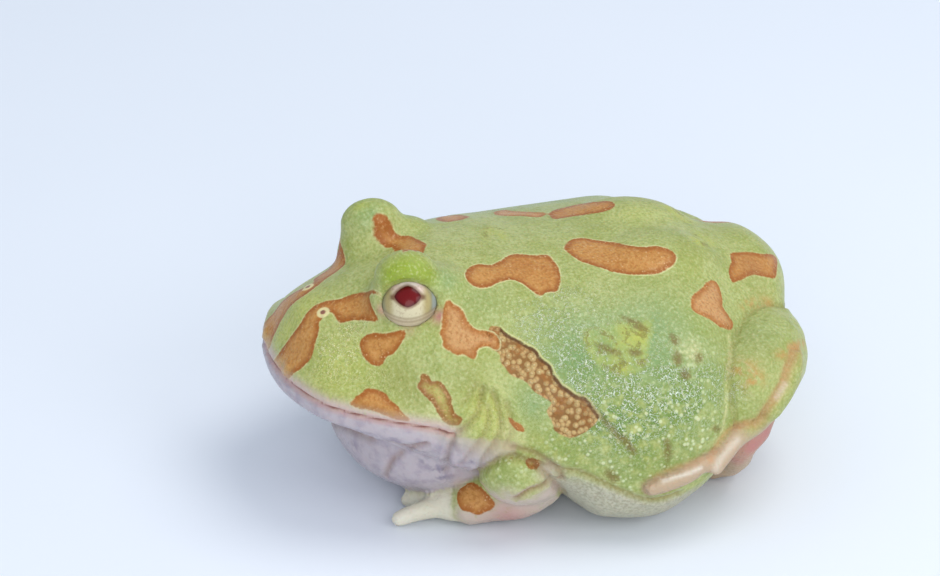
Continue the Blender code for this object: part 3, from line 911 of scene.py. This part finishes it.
class Coat(Bench):
    """The skin's moist finish, from its ground colour to its markings and its relief."""

    def __init__(self) -> None:
        """Lays out the clouds and cells that colour and relief share."""
        super().__init__("frog_coat")
        place = self.place()
        self.cloud = self.noise(place, 6.0, 4)
        self.mottle = self.noise(place, 1.6, 4)
        self.fine = self.noise(place, 0.45, 3)
        # worm-like lines, raised in the relief and painted as highlights; glints are painted highlights
        # only
        line = abs(self.noise(place, 0.5, 2) - 0.5)
        self.worm_ridges_and_glints = line.fall(0.0, 0.046) * self.mottle.rise(0.37, 0.54)
        self.glints = line.fall(0.0, 0.05) * self.mottle.rise(0.34, 0.5)
        self.grains = self.cells(place, 0.6)
        self.beads = self.cells(place, 1.0)
        self.granules = self.cells(place, 0.75)
        self.ragged = (self.mottle - 0.5) * 0.6 + (self.fine - 0.5) * 0.4

    def ground(self) -> Value:
        """Greens of the back and flanks, with their granules, and fine lines painted as highlights.

        Returns:
            The colour.
        """
        coat = self.blend((161, 169, 95), (178, 184, 120), self.cloud.rise(0.3, 0.7))
        mint = self.blend((118, 150, 98), (138, 162, 108), self.mottle.rise(0.35, 0.65))
        rough = self.worn("worm_ridges_and_glints") * 0.6 + self.worn("dots") * 0.5
        grain = (self.beads + self.ragged * 0.5).fall(0.16, 0.36) * self.cloud.rise(0.3, 0.5)
        cream = self.worn("cream") * (self.ragged + 0.5).rise(0.3, 0.55)
        return self.layered(coat, (
            ((142, 153, 70), self.mottle.rise(0.5, 0.72) * 0.5),
            (mint, self.worn("mint")),
            ((186, 190, 98), self.worn("sun") * 0.8),
            ((150, 152, 84), self.worn("dun") * 0.8),
            ((140, 160, 46), self.worn("brow") * 0.9),
            ((106, 136, 66), rough * self.mottle.rise(0.28, 0.56) * 0.9),
            ((132, 144, 68), self.fine.fall(0.38, 0.5) * 0.4),
            ((202, 208, 150), self.fine.rise(0.54, 0.66) * 0.3),
            # painted highlights: glints on snout and cheeks, and pale worm-like lines on the flank
            ((232, 230, 172), self.worn("glint") * self.glints * 0.9),
            ((236, 244, 226), self.worn("worm_ridges_and_glints") * self.worm_ridges_and_glints),
            ((208, 216, 170), self.worn("dots") * grain * 0.8),
            ((214, 210, 154), cream * 0.8),
            ((188, 146, 84), self.worn("rust") * self.mottle.rise(0.34, 0.6) * 0.85),
        ))

    def underside(self, coat: Value) -> Value:
        """The pale lips, throat, belly, hands and feet laid over the greens, with painted highlights on
        the foot.

        Args:
            coat: what is there already.

        Returns:
            The coat with these on it.
        """
        throat = self.blend((184, 174, 178), (168, 157, 166), self.mottle.rise(0.4, 0.7))
        throat = self.layered(throat, (
            ((92, 84, 112), self.worn("smudge") * self.mottle.rise(0.38, 0.6) * 0.75),
            ((186, 176, 138), self.worn("neck")),
        ))
        belly = self.blend((164, 160, 138), (188, 185, 162), self.fine.rise(0.35, 0.65))
        return self.layered(coat, (
            ((202, 180, 172), self.worn("lip") * self.mottle.rise(0.2, 0.42)),
            (throat, self.worn("throat")),
            ((194, 178, 164), self.worn("bare") * (self.ragged + 0.6).rise(0.25, 0.6)),
            (belly, self.worn("belly")),
            ((210, 205, 184), self.worn("hand")),
            ((186, 162, 134), self.worn("foot")),
            ((196, 146, 102), self.worn("tan") * 0.8),
            # the white tint: pale tips of the finger and the foot, and painted highlights on the long
            # toe and the shank
            ((226, 220, 206), self.worn("white") * 0.9),
            ((184, 122, 120), self.worn("pink") * 0.85),
        ))

    def patches(self, coat: Value) -> Value:
        """The olive patches and brown spots of the flank.

        Args:
            coat: what is there already.

        Returns:
            The coat with these on it.
        """
        olive = self.worn("olive") + self.ragged * 2.6
        streaks = olive.fall(-0.5, 0.6) * self.mottle.rise(0.52, 0.6) * self.fine.rise(0.36, 0.5)
        spot = self.worn("spot") + self.ragged * 2.4
        return self.layered(coat, (
            ((178, 184, 88), olive.fall(-0.9, 0.7) * (self.cloud * 1.3).fall(0.4, 1.0)),
            ((122, 112, 44), streaks * 0.65),
            ((116, 98, 46), spot.fall(-0.45, 0.45) * self.fine.rise(0.3, 0.46) * 0.8),
        ))

    def band(self, coat: Value) -> Value:
        """The beaded golden band behind the shoulder, with painted highlights on its beads and its dark
        upper edge.

        Args:
            coat: what is there already.

        Returns:
            The coat with these on it.
        """
        band = self.worn("band") + self.ragged * 0.6
        bead = self.granules + self.ragged * 0.5
        gold = self.blend((200, 168, 112), (138, 98, 50), bead.rise(0.36, 0.7))
        gold = self.layered(gold, (
            # painted highlights on the tops of the beads
            ((224, 202, 154), bead.fall(0.04, 0.3) * 0.6),
            ((164, 106, 50), self.mottle.rise(0.5, 0.66) * 0.5),
        ))
        edge = self.worn("band_edge") + self.ragged * 0.5
        return self.layered(coat, (
            (gold, band.fall(-0.1, 0.15)),
            ((216, 212, 150), edge.fall(0.35, 0.7) * band.rise(0.05, 0.25) * 0.7),
            ((92, 58, 26), edge.fall(0.1, 0.42) * 0.95),
        ))

    def blotches(self, coat: Value) -> Value:
        """The orange markings, with mottled middles, darker rims and broken pale halos.

        Args:
            coat: what is there already.

        Returns:
            The coat with these on it.
        """
        tone = self.worn("tone")
        blotch = self.worn("blotch") + self.ragged * 0.6
        middle = self.layered((192, 138, 74), (
            ((198, 150, 98), tone.rise(0, 0.5)),
            ((178, 172, 94), tone.rise(0.5, 1)),
            ((178, 116, 52), self.cloud.rise(0.48, 0.66) * tone.fall(0, 0.5) * 0.6),
        ))
        rim = self.layered((160, 96, 40), (
            ((172, 112, 56), tone.rise(0, 0.5)),
            ((142, 98, 46), tone.rise(0.5, 1)),
        ))
        flecks = self.grains.fall(0.1, 0.3) * self.mottle.rise(0.5, 0.62)
        orange = self.layered(middle, (
            (rim, (blotch + self.ragged * 1.6).rise(-1.3, -0.2)),
            ((152, 88, 34), self.fine.fall(0.36, 0.5) * 0.4),
            ((216, 166, 104), self.fine.rise(0.54, 0.66) * 0.35),
            ((230, 194, 144), flecks * 0.5),
            ((150, 100, 60), self.worn("dun") * 0.5),
        ))
        halo = blotch.fall(0.08, 0.3) * self.worn("halo") * self.mottle.rise(0.3, 0.6)
        return self.layered(coat, (
            ((222, 218, 162), halo * 0.7),
            (orange, blotch.fall(-0.14, 0.14) * (1 - self.worn("lip") * 0.5)),
        ))

    def openings(self, coat: Value) -> Value:
        """The folds with painted shade, the line of the mouth with painted shade where the lips meet,
        the rims of the lids and the nostrils with painted shade in their openings.

        Args:
            coat: what is there already.

        Returns:
            The coat with these on it.
        """
        mouth = self.worn("mouth")
        nostril = self.worn("nostril")
        lid = self.blend((140, 138, 96), (206, 154, 146), self.worn("pink"))
        return self.layered(coat, (
            # painted shade along the folds and seams
            ((132, 92, 62), self.worn("fold") * 0.45),
            ((204, 158, 152), mouth.fall(0.1, 0.8) * 0.6),
            # painted shade in the groove where the lips meet
            ((140, 86, 74), mouth.fall(0.05, 0.3) * 0.8),
            (lid, self.worn("rim").fall(0.15, 0.6) * 0.45),
            ((226, 216, 160), nostril.rise(0.3, 0.5) * 0.85),
            # painted shade inside the nostril's opening
            ((140, 92, 74), nostril.rise(0.74, 0.9)),
        ))

    def relief(self) -> Value:
        """Leathery grain, fine ridges, granules and beads.

        Returns:
            The bumped normal.
        """
        height = self.mottle * 0.17 + self.fine * 0.08
        for bump in (
            self.grains.fall(0.0, 0.6) * 0.06 * (1 - self.worn("throat") * 0.8),
            self.worm_ridges_and_glints * (self.worn("worm_ridges_and_glints") + self.worn("glint")) * 0.08,
            self.beads.fall(0.0, 0.6) * self.worn("dots") * 0.18,
            self.granules.fall(0.0, 0.6) * self.worn("band").fall(-0.3, 0.1) * 0.35,
        ):
            height = height + bump
        return self.node(
            "ShaderNodeBump", sockets={"Strength": 0.9, "Distance": MM, "Height": height}
        )

    def build(self) -> bpy.types.Material:
        """Lays the layers on each other.

        Returns:
            The finished material.
        """
        coat = self.ground()
        for layer in (self.underside, self.patches, self.band, self.blotches, self.openings):
            coat = layer(coat)
        return self.finish(
            Base_Color=coat,
            Roughness=self.fine.rise(0.35, 0.65) * 0.16 + 0.3,
            Normal=self.relief(),
            Coat_Weight=self.fine.rise(0.48, 0.68) * 0.3,
            Coat_Roughness=0.14,
            Subsurface_Weight=0.1,
            Subsurface_Scale=1.0 * MM,
            Specular_IOR_Level=0.22,
        )


@dataclass
class Skin:
    """The one skin over head, trunk and limbs, with its folds and its coat.

    Sizes are in millimetres. The neck, the mouth's corner, the ends of lip and throat and
    what lies below the belly's edge are measured in the photo. Each pair of limits is where
    something starts and where it is complete.
    """

    view: PhotoView
    flesh: tuple[str, ...] = tuple(
        name for name in sorted(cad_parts) if not name.startswith("eye")
    )
    bridge: float = 0.3
    merge: float = 0.002
    cell: float = 0.45
    even_rounds: int = 7
    eye_guard: tuple[float, float] = (4.5, 7.5)
    least_even: float = 0.35
    lid_gap: float = 0.34
    lid_band: tuple[float, float] = (0.45, 1.4)
    least_gap: float = 0.03
    neck: Pixels = ((478, 434), (492, 436), (506, 439))
    neck_reach: float = 3.0
    neck_rounds: int = 50
    reach: float = 4.0
    facing: float = 0.05
    ring_steps: int = 4
    line_steps: int = 5
    half_gap: float = 0.15
    lip_at: float = 2.1
    swell_two: float = 0.09
    swell_three: float = 0.07
    blotch_seed: float = 1.3
    patch_seed: float = 0.7
    band_seed: float = 2.0
    mouth_corner: tuple[float, float] = (452.0, 463.0)
    past_corner: float = 2.0
    lip_strip: float = 1.9
    lip_end: tuple[float, float] = (445.0, 475.0)
    throat_end: Pixels = ((460, 465), (490, 410))
    throat_fade: tuple[float, float] = (0.6, 1.05)
    neck_fade: tuple[float, float] = (0.05, 0.65)
    belly_down: tuple[float, float] = (0.3, 0.9)
    belly_below: tuple[float, float] = (-2.0, 6.0)
    belly_top: tuple[float, float] = (-15.0, -9.0)
    arm_down: tuple[float, float] = (0.1, 0.6)
    # half width of the shade painted along the folds and of the tan edges, and the darkest that painted
    # shade gets
    shade_width: float = 0.45
    shade_most: float = 1.6
    tan_edge: float = 0.8
    tan_off: float = 0.2
    seam_soft: float = 0.4

    def gather(self) -> bpy.types.Object:
        """One mesh of merged copies of the flesh solids, swollen to close their gaps.

        Returns:
            The piece, not yet one surface.
        """
        work = bmesh.new()
        for name in self.flesh:
            work.from_mesh(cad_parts[name].data)
        bmesh.ops.remove_doubles(work, verts=work.verts, dist=self.merge * MM)
        work.normal_update()
        for vert, normal in [(vert, vert.normal.copy()) for vert in work.verts]:
            vert.co += normal * self.bridge * MM
        return piece_from(work, "frog_skin")

    def close(self, piece: bpy.types.Object) -> Surface:
        """Joins the swollen solids to one even surface, at their own size again.

        Args:
            piece: the gathered copies.

        Returns:
            The surface, evened except round the eyes.
        """
        remesh = piece.modifiers.new("one_surface", "REMESH")
        remesh.mode = "VOXEL"
        remesh.voxel_size = self.cell * MM
        remesh.use_smooth_shade = True
        evaluated = piece.evaluated_get(bpy.context.evaluated_depsgraph_get())
        joined = bpy.data.meshes.new_from_object(evaluated)
        piece.modifiers.clear()
        piece.data = joined
        self.keep_outside(joined)
        surface = Surface(piece)
        surface.push(np.full(len(surface.points), -self.bridge))
        weight = np.ones(len(surface.points))
        for side in SIDES:
            clear = rise(surface.apart(eyeball(side)[0]), *self.eye_guard)
            weight = np.minimum(weight, self.least_even + (1 - self.least_even) * clear)
        surface.smooth(self.even_rounds, weight)
        self.snug(surface)
        surface.write()
        behind_mouth = np.zeros(len(surface.points))
        for pixel in self.neck:
            place = surface.seen(self.view, pixel)[0]
            for spot in (place, place * OTHER_SIDE):
                found = bell(surface.apart(spot), self.neck_reach, power=4)
                behind_mouth = np.maximum(behind_mouth, found)
        surface.smooth(self.neck_rounds, behind_mouth, 0.0)
        surface.write()
        return surface

    def in_picture(self, surface: Surface) -> np.ndarray:
        """Where each point shows in the photo, with the right side laid on the left.

        Args:
            surface: the skin.

        Returns:
            Two coordinates in each row.
        """
        folded = surface.points.copy()
        folded[:, 0] = np.abs(folded[:, 0])
        return self.view.pixels(folded)

    def snug(self, surface: Surface) -> None:
        """Draws the lids in until they touch the eyeballs.

        Args:
            surface: the even skin.
        """
        for side in SIDES:
            middle, radius = eyeball(side)
            offset = surface.points - middle
            away = np.linalg.norm(offset, axis=1)
            over = away - radius
            drawn = over - self.lid_gap * (1 - rise(over, *self.lid_band))
            drawn = np.maximum(drawn, self.least_gap)
            near = over < self.lid_band[1]
            surface.points[near] = middle + offset[near] * ((radius + drawn) / away)[near, None]

    def to_parts(self, surface: Surface) -> dict[str, np.ndarray]:
        """Each point's distance from each part of the body, whichever side it is on.

        Args:
            surface: the even skin.

        Returns:
            Millimetres, for each part's name without its side.
        """
        away: dict[str, np.ndarray] = {}
        for name in self.flesh:
            part = name.removesuffix("_left").removesuffix("_right")
            found = away.setdefault(part, np.full(len(surface.points), self.reach))
            low, high = box_mm(name)
            near = np.all(surface.points > low - self.reach, axis=1)
            near &= np.all(surface.points < high + self.reach, axis=1)
            tree = Surface(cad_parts[name]).tree
            for i in np.flatnonzero(near):
                distance = tree.find_nearest(Vector(surface.points[i]), found[i])[3]
                if distance is not None:
                    found[i] = distance
        return away

    def keep_outside(self, mesh: bpy.types.Mesh) -> None:
        """Leaves only the outer shell, without closed pockets of the old gaps.

        Args:
            mesh: the joined mesh, which is changed.
        """
        work = bmesh.new()
        work.from_mesh(mesh)
        shells = []
        left = set(work.verts)
        while left:
            shell = {left.pop()}
            edge = list(shell)
            while edge:
                vert = edge.pop()
                for link in vert.link_edges:
                    other = link.other_vert(vert)
                    if other in left:
                        left.discard(other)
                        shell.add(other)
                        edge.append(other)
            shells.append(shell)
        shells.sort(key=len)
        for shell in shells[:-1]:
            bmesh.ops.delete(work, geom=list(shell), context="VERTS")
        work.to_mesh(mesh)
        work.free()

    def traced(self, surface: Surface, pixels: Pixels, closed: bool = False) -> np.ndarray:
        """A line of the photo laid on the surface.

        Args:
            surface: what carries it.
            pixels: its places in the photo.
            closed: whether it is an outline.

        Returns:
            The smooth line's points in millimetres.
        """
        hits = [surface.seen(self.view, pixel) for pixel in pixels]
        steps = self.ring_steps if closed else self.line_steps
        return curve_through([hit[0] for hit in hits if hit is not None], steps, closed)

    def mirrored(self, surface: Surface, line: np.ndarray) -> np.ndarray:
        """A line laid on the surface's other side."""
        return np.array([surface.nearest(place)[0] for place in line * OTHER_SIDE])

    def from_line(self, surface: Surface, pixels: Pixels) -> np.ndarray:
        """Each point's distance from a line of the photo, or from its mirrored double.

        Args:
            surface: what carries the line.
            pixels: its places in the photo.

        Returns:
            Millimetres.
        """
        line = self.traced(surface, pixels)
        here = distance_to_line(surface.points, line, closed=False)
        there = distance_to_line(surface.points, self.mirrored(surface, line), closed=False)
        return np.minimum(here, there)

    def fold(self, surface: Surface, away: dict[str, np.ndarray]) -> dict[str, np.ndarray]:
        """Works the folds into the surface.

        Args:
            surface: the even skin.
            away: each point's distance from each part of the body.

        Returns:
            Each point's distance from each fold, on either side.
        """
        amount = np.zeros(len(surface.points))
        distances = {}
        shown = self.in_picture(surface)[:, 0]
        for seam in SEAMS:
            found = np.maximum(away[seam.parts[0]], away[seam.parts[1]]) - self.half_gap
            if seam.name == "mouth":
                found += self.past_corner * rise(shown, *self.mouth_corner)
            distances[seam.name] = np.maximum(found, 0)
            self.carve(amount, found, seam)
        for crease in CREASES:
            distances[crease.name] = self.from_line(surface, crease.line)
            self.carve(amount, distances[crease.name], crease)
        surface.push(amount)
        return distances

    def carve(self, amount: np.ndarray, away: np.ndarray, groove: Union[Seam, Crease]) -> None:
        """Adds one groove, with its lips, to how far each point moves outward.

        Args:
            amount: what is added to.
            away: each point's distance from the groove.
            groove: its depth, width and lips.
        """
        amount += groove.lips * bell(away / groove.width - self.lip_at, 1)
        amount -= groove.depth * bell(away, groove.width)

    def flat_distance(self, surface: Surface, ring: np.ndarray) -> np.ndarray:
        """Each point's distance from a closed outline, in the plane that fits it.

        Args:
            surface: the skin that the outline lies on.
            ring: the outline's points in millimetres.

        Returns:
            Millimetres from the outline, below zero inside it.
        """
        middle = ring.mean(axis=0)
        _, _, turned = np.linalg.svd(ring - middle)
        _, outward = surface.nearest(middle)
        normal = turned[2] if turned[2] @ outward > 0 else -turned[2]
        across, along = turned[0], turned[1]
        size = np.linalg.norm(ring - middle, axis=1).max()
        offset = surface.points - middle
        near = np.linalg.norm(offset, axis=1) < size + self.reach
        near &= surface.normals @ normal > self.facing
        away = np.full(len(surface.points), self.reach)
        points = np.stack((offset[near] @ across, offset[near] @ along), axis=1)
        outline = np.stack(((ring - middle) @ across, (ring - middle) @ along), axis=1)
        found = distance_to_line(points, outline, closed=True)
        found[inside_outline(points, outline)] *= -1
        away[near] = np.clip(found, -self.reach, self.reach)
        return away

    def varied(self, surface: Surface, ring: np.ndarray, seed: float) -> np.ndarray:
        """A mirrored outline with a form of its own.

        Args:
            surface: what carries it.
            ring: the mirrored outline in millimetres.
            seed: sets how it differs.

        Returns:
            The changed outline, laid on the surface.
        """
        middle = ring.mean(axis=0)
        turn = np.linspace(0, 2 * math.pi, len(ring), endpoint=False)
        swell = 1 + self.swell_two * np.sin(2 * turn + seed)
        swell += self.swell_three * np.sin(3 * turn + 2 * seed)
        moved = middle + (ring - middle) * swell[:, None]
        return np.array([surface.nearest(place)[0] for place in moved])

    def marking(self, surface: Surface, blotch: Blotch, seed: float) -> np.ndarray:
        """Each point's distance from a marking, on one side or both.

        Args:
            surface: the skin.
            blotch: the marking.
            seed: sets how the mirrored one differs.

        Returns:
            Millimetres, below zero inside.
        """
        ring = self.traced(surface, blotch.outline, closed=True)
        away = self.flat_distance(surface, ring)
        if blotch.sides is Sides.BOTH:
            other = self.varied(surface, self.mirrored(surface, ring), seed)
            away = np.minimum(away, self.flat_distance(surface, other))
        return away

    def pale_jaw(
        self, surface: Surface, away: dict[str, np.ndarray]
    ) -> tuple[np.ndarray, np.ndarray]:
        """How much of each point is pale throat, and how far it is towards the neck.

        Args:
            surface: the skin.
            away: each point's distance from each part of the body.

        Returns:
            The throat's share from 0 to 1, and the way to the neck, which ends at 1.
        """
        start, end = np.array(self.throat_end, float)
        along = end - start
        neck = (self.in_picture(surface) - start) @ along / (along @ along)
        return self.own("lower_jaw", away) * (1 - rise(neck, *self.throat_fade)), neck

    def mark(self, surface: Surface, away: dict[str, np.ndarray]) -> None:
        """Keeps the distances from the markings on the mesh, and the tone of the nearest.

        Args:
            surface: the folded skin.
            away: each point's distance from each part of the body.
        """
        nearest = np.full(len(surface.points), self.reach)
        tone = np.zeros(len(surface.points))
        halo = np.zeros(len(surface.points))
        for i, blotch in enumerate(BLOTCHES):
            found = self.marking(surface, blotch, self.blotch_seed * i)
            LOG.info("marking %s reaches %.1f mm in", blotch.name, -found.min())
            closer = found < nearest
            tone[closer] = blotch.tone.value
            halo[closer] = blotch.halo
            nearest = np.minimum(nearest, found)
        surface.store("blotch", nearest + self.reach * self.pale_jaw(surface, away)[0])
        surface.store("tone", tone)
        surface.store("halo", halo)
        surface.store("band", self.marking(surface, BAND, self.band_seed))
        for name, group in (("olive", OLIVES), ("spot", SPOTS)):
            seeds = (self.patch_seed * i for i in range(len(group)))
            found = [self.marking(surface, blotch, seed) for blotch, seed in zip(group, seeds)]
            surface.store(name, np.minimum.reduce(found))
        surface.store("band_edge", self.from_line(surface, BAND_EDGE))

    def tint(
        self,
        surface: Surface,
        away: dict[str, np.ndarray],
        folds: dict[str, np.ndarray],
    ) -> None:
        """Keeps the soft tints on the mesh: pale underside, mint flanks, pink, the painted shade along
        the folds and the rest.

        Args:
            surface: the folded skin.
            away: each point's distance from each part of the body.
            folds: each point's distance from each fold.
        """
        names = [mark.tint for mark in (*WASHES, *STROKES)]
        tints = {name: np.zeros(len(surface.points)) for name in names}
        for wash in WASHES:
            if len(wash.at) == 3:
                place = surface.nearest(wash.at)[0]
            else:
                hit = surface.seen(self.view, wash.at)
                if hit is None:
                    LOG.info("a %s wash at %s is beside the frog", wash.tint, wash.at)
                    continue
                place = hit[0]
            sides = (1,) if wash.sides is Sides.HERE else (1, OTHER_SIDE)
            for side in sides:
                found = bell(surface.apart(place * side), wash.reach)
                tints[wash.tint] += wash.strength * found
        for stroke in STROKES:
            found = stroke.strength * bell(self.from_line(surface, stroke.line), stroke.width)
            tints[stroke.tint] = np.maximum(tints[stroke.tint], found)
        depth = -surface.points[:, 2]
        down = -surface.normals[:, 2]
        shown = self.in_picture(surface)
        throat, neck = self.pale_jaw(surface, away)
        edge = np.array(BELLY_EDGE, float)
        below = shown[:, 1] - np.interp(shown[:, 0], edge[:, 0], edge[:, 1])
        belly = np.maximum(rise(down, *self.belly_down), rise(below, *self.belly_below))
        strip = bell(away["lower_jaw"], self.lip_strip, power=4) * self.own("head", away)
        under_arm = rise(down, *self.arm_down) * self.own("arm", away)
        tints["belly"] = belly * self.own("torso", away) * rise(depth, *self.belly_top)
        tints["throat"] = throat
        tints["neck"] = rise(neck, *self.neck_fade)
        tints["lip"] = strip * (1 - rise(shown[:, 0], *self.lip_end))
        tints["hand"] = self.own("hand", away)
        tints["foot"] = self.own("foot", away) * (1 - np.clip(tints["green"], 0, 1))
        tints["bare"] = np.maximum(tints["bare"], under_arm)
        for name in ("shank_on_thigh", "foot_on_thigh"):
            found = self.tan_edge * bell(folds[name] - self.tan_off, self.shade_width)
            tints["tan"] = np.maximum(tints["tan"], found)
        # painted shade: darker colour along every fold and seam except the mouth, as dark as each one's
        # shade
        tints["fold"] = np.zeros(len(surface.points))
        for groove in (*SEAMS[1:], *CREASES):
            found = groove.shade * bell(folds[groove.name], self.shade_width)
            tints["fold"] = np.maximum(tints["fold"], found)
        for name, values in tints.items():
            surface.store(name, np.clip(values, 0, self.shade_most if name == "fold" else 1))
        surface.store("mouth", np.clip(folds["mouth"], 0, self.reach))
        self.rim(surface)

    def rim(self, surface: Surface) -> None:
        """Keeps how far each point is from the nearer eyeball's surface.

        Args:
            surface: the folded skin.
        """
        found = np.full(len(surface.points), self.reach)
        for side in SIDES:
            middle, radius = eyeball(side)
            found = np.minimum(found, surface.apart(middle) - radius)
        surface.store("rim", found)

    def own(self, part: str, away: dict[str, np.ndarray]) -> np.ndarray:
        """How much each point belongs to one part of the body, from 0 to 1.

        Args:
            part: the part's name.
            away: each point's distance from each part.

        Returns:
            One share for each point, soft across the seams.
        """
        others = np.minimum.reduce([found for name, found in away.items() if name != part])
        return rise(others - away[part], -self.seam_soft, self.seam_soft)

    def build(self) -> bpy.types.Object:
        """Makes, folds, marks and dresses the skin.

        Returns:
            The finished piece.
        """
        piece = self.gather()
        surface = self.close(piece)
        away = self.to_parts(surface)
        folds = self.fold(surface, away)
        self.mark(surface, away)
        self.tint(surface, away, folds)
        piece.data.shade_smooth()
        piece.data.materials.clear()
        piece.data.materials.append(Coat().build())
        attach(piece, "root")
        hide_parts(*self.flesh)
        return piece


@dataclass
class Eye:
    """One wet eyeball, whose iris and pupil are drawn round the way it looks."""

    side: str
    looks: tuple[float, float, float] = (0.86, -0.27, 0.43)
    rings: int = 64
    spokes: int = 96
    pupil_half: tuple[float, float] = (1.9, 1.5)
    pupil_off: tuple[float, float] = (-0.15, 1.1)
    pupil_squareness: float = 1.5
    iris_radius: float = 3.7
    iris_drop: float = 0.8
    lid_bend: float = 0.1
    lid_lines: tuple[float, float] = (-3.1, -3.55)

    def build(self) -> bpy.types.Object:
        """Makes the ball, keeps its drawing's coordinates on it and dresses it.

        Returns:
            The finished piece.
        """
        sign = 1 if self.side == "left" else -1
        middle, radius = eyeball(self.side)
        gaze = Vector((sign * self.looks[0], self.looks[1], self.looks[2])).normalized()
        work = bmesh.new()
        bmesh.ops.create_uvsphere(
            work, u_segments=self.spokes, v_segments=self.rings, radius=radius * MM
        )
        turn = gaze.to_track_quat("Z", "Y").to_matrix().to_4x4()
        place = Matrix.Translation(Vector(middle) * MM) @ turn
        bmesh.ops.transform(work, matrix=place, verts=work.verts)
        piece = piece_from(work, f"eyeball_{self.side}")
        surface = Surface(piece)
        across = Vector((0, 0, 1)).cross(gaze).normalized()
        above = gaze.cross(across)
        offset = surface.points - middle
        surface.store("across", sign * offset @ np.array(across))
        surface.store("above", offset @ np.array(above))
        surface.store("ahead", offset @ np.array(gaze))
        piece.data.materials.append(self.gloss())
        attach(piece, "root")
        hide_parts(f"eye_{self.side}")
        return piece

    def iris(self, bench: Bench, u: Value, v: Value) -> Value:
        """The iris with its streaks, painted glare, dark corners and rim, and the folds of the lower
        lid.

        Args:
            bench: the eye's material.
            u, v: the place across and above, from the middle of the pupil.

        Returns:
            The colour.
        """
        streaks = bench.noise(bench.place(), 0.35, 4)
        low = v + self.iris_drop
        away = (u * u + low * low) ** 0.5
        rim = self.iris_radius
        corners = abs(v + 0.1).fall(0.1, 0.6) * abs(u).rise(1.6, 2.0) * abs(u).fall(2.2, 2.8)
        # painted reflection: where a lamp's glare shows above the pupil
        glare = abs(v - 1.9).fall(0.2, 0.6) * abs(u - 0.2).fall(0.8, 2.0)
        lid = v - u * u * self.lid_bend
        lines = [abs(lid - height).fall(0.02, 0.3) * 0.5 for height in self.lid_lines]
        return bench.layered((208, 198, 164), (
            ((228, 204, 194), v.rise(-0.2, 1.2)),
            ((164, 148, 92), abs(u).rise(1.6, 2.8) * 0.85),
            ((150, 120, 96), streaks.rise(0.52, 0.7) * 0.35),
            ((104, 74, 48), corners * 0.8),
            # painted reflection of the lamps, a bright band above the pupil
            ((246, 234, 230), glare * 0.8),
            ((132, 134, 108), away.rise(rim - 0.8, rim)),
            ((96, 100, 84), away.rise(rim, rim + 0.4)),
            ((152, 160, 160), u.rise(3.2, 3.6) * 0.7),
            ((196, 178, 150), lid.fall(-3.5, -2.9) * 0.7),
            *(((140, 120, 92), line) for line in lines),
        ))

    def gloss(self) -> bpy.types.Material:
        """Draws the iris and the pupil, under a wet gloss.

        Returns:
            The finished material.
        """
        bench = Bench(f"frog_eye_{self.side}")
        cloud = bench.noise(bench.place(), 1.4, 3)
        u = bench.worn("across") - self.pupil_off[0]
        v = bench.worn("above") - self.pupil_off[1]
        diamond = abs(u / self.pupil_half[0]) ** self.pupil_squareness
        diamond = diamond + abs(v / self.pupil_half[1]) ** self.pupil_squareness
        pupil = bench.blend((106, 8, 13), (74, 5, 9), diamond.rise(0.5, 1.0))
        ball = bench.layered(self.iris(bench, u, v), (
            ((118, 78, 56), diamond.fall(1.0, 1.5) * 0.8),
            (pupil, diamond.fall(0.9, 1.06)),
            ((190, 150, 140), bench.worn("ahead").fall(-0.5, 0.5)),
        ))
        return bench.finish(
            Base_Color=ball,
            Roughness=cloud * 0.1 + 0.26,
            Coat_Weight=0.35,
            Coat_Roughness=0.04,
            Coat_IOR=1.4,
            Specular_IOR_Level=0.12,
        )


@dataclass(frozen=True)
class Lamp:
    """A round soft lamp that points at the frog: place and width in millimetres, and watts."""

    name: str
    place: tuple[float, float, float]
    width: float
    power: float
    colour: tuple[float, float, float]

    def build(self) -> None:
        """Hangs the lamp."""
        data = bpy.data.lights.new(self.name, "AREA")
        data.shape = "DISK"
        data.size = self.width * MM
        data.energy = self.power
        data.color = self.colour
        lamp = bpy.data.objects.new(self.name, data)
        bpy.context.scene.collection.objects.link(lamp)
        lamp.location = Vector(self.place) * MM
        lamp.rotation_euler = Vector(self.place).to_track_quat("Z", "Y").to_euler()


@dataclass
class Studio:
    """The pale table under the frog and the soft light over it."""

    floor_half: float = 2500.0
    glow: tuple[float, float, float, float] = (0.82, 0.9, 1.0, 1.0)
    glow_strength: float = 0.68
    lamps: tuple[Lamp, ...] = (
        Lamp("overhead", (80, 240, 600), 420, 1.4, (1.0, 0.98, 0.95)),
        Lamp("beside", (480, 260, 380), 300, 0.72, (1.0, 0.98, 0.96)),
        Lamp("before", (560, -160, 260), 400, 1.25, (1.0, 0.98, 0.96)),
    )

    def floor(self) -> None:
        """The table top, larger than any view of the frog."""
        work = bmesh.new()
        bmesh.ops.create_grid(work, x_segments=2, y_segments=2, size=self.floor_half * MM)
        piece = piece_from(work, "table_top")
        bench = Bench("table_white")
        cloud = bench.noise(bench.place(), 90.0, 2)
        white = bench.blend((232, 238, 247), (236, 241, 250), cloud)
        finish = bench.finish(Base_Color=white, Roughness=0.85, Specular_IOR_Level=0.2)
        piece.data.materials.append(finish)

    def light(self) -> None:
        """Soft lamps, and the even glow of a white room."""
        for lamp in self.lamps:
            lamp.build()
        world = bpy.data.worlds.new("white_room")
        world.use_nodes = True
        background = world.node_tree.nodes["Background"]
        background.inputs["Color"].default_value = self.glow
        background.inputs["Strength"].default_value = self.glow_strength
        bpy.context.scene.world = world

    def build(self) -> None:
        """Makes the floor and the light."""
        self.floor()
        self.light()
        bpy.context.scene.view_settings.view_transform = "Standard"


def main() -> None:
    """Builds the view, the studio, the skin and the eyes, and reports each."""
    view = PhotoView()
    view.build()
    Studio().build()
    pieces = [Skin(view).build()]
    pieces += [Eye(side).build() for side in SIDES]
    for piece in pieces:
        LOG.info("%s has %d faces", piece.name, len(piece.data.polygons))


if __name__ == "__main__":
    main()
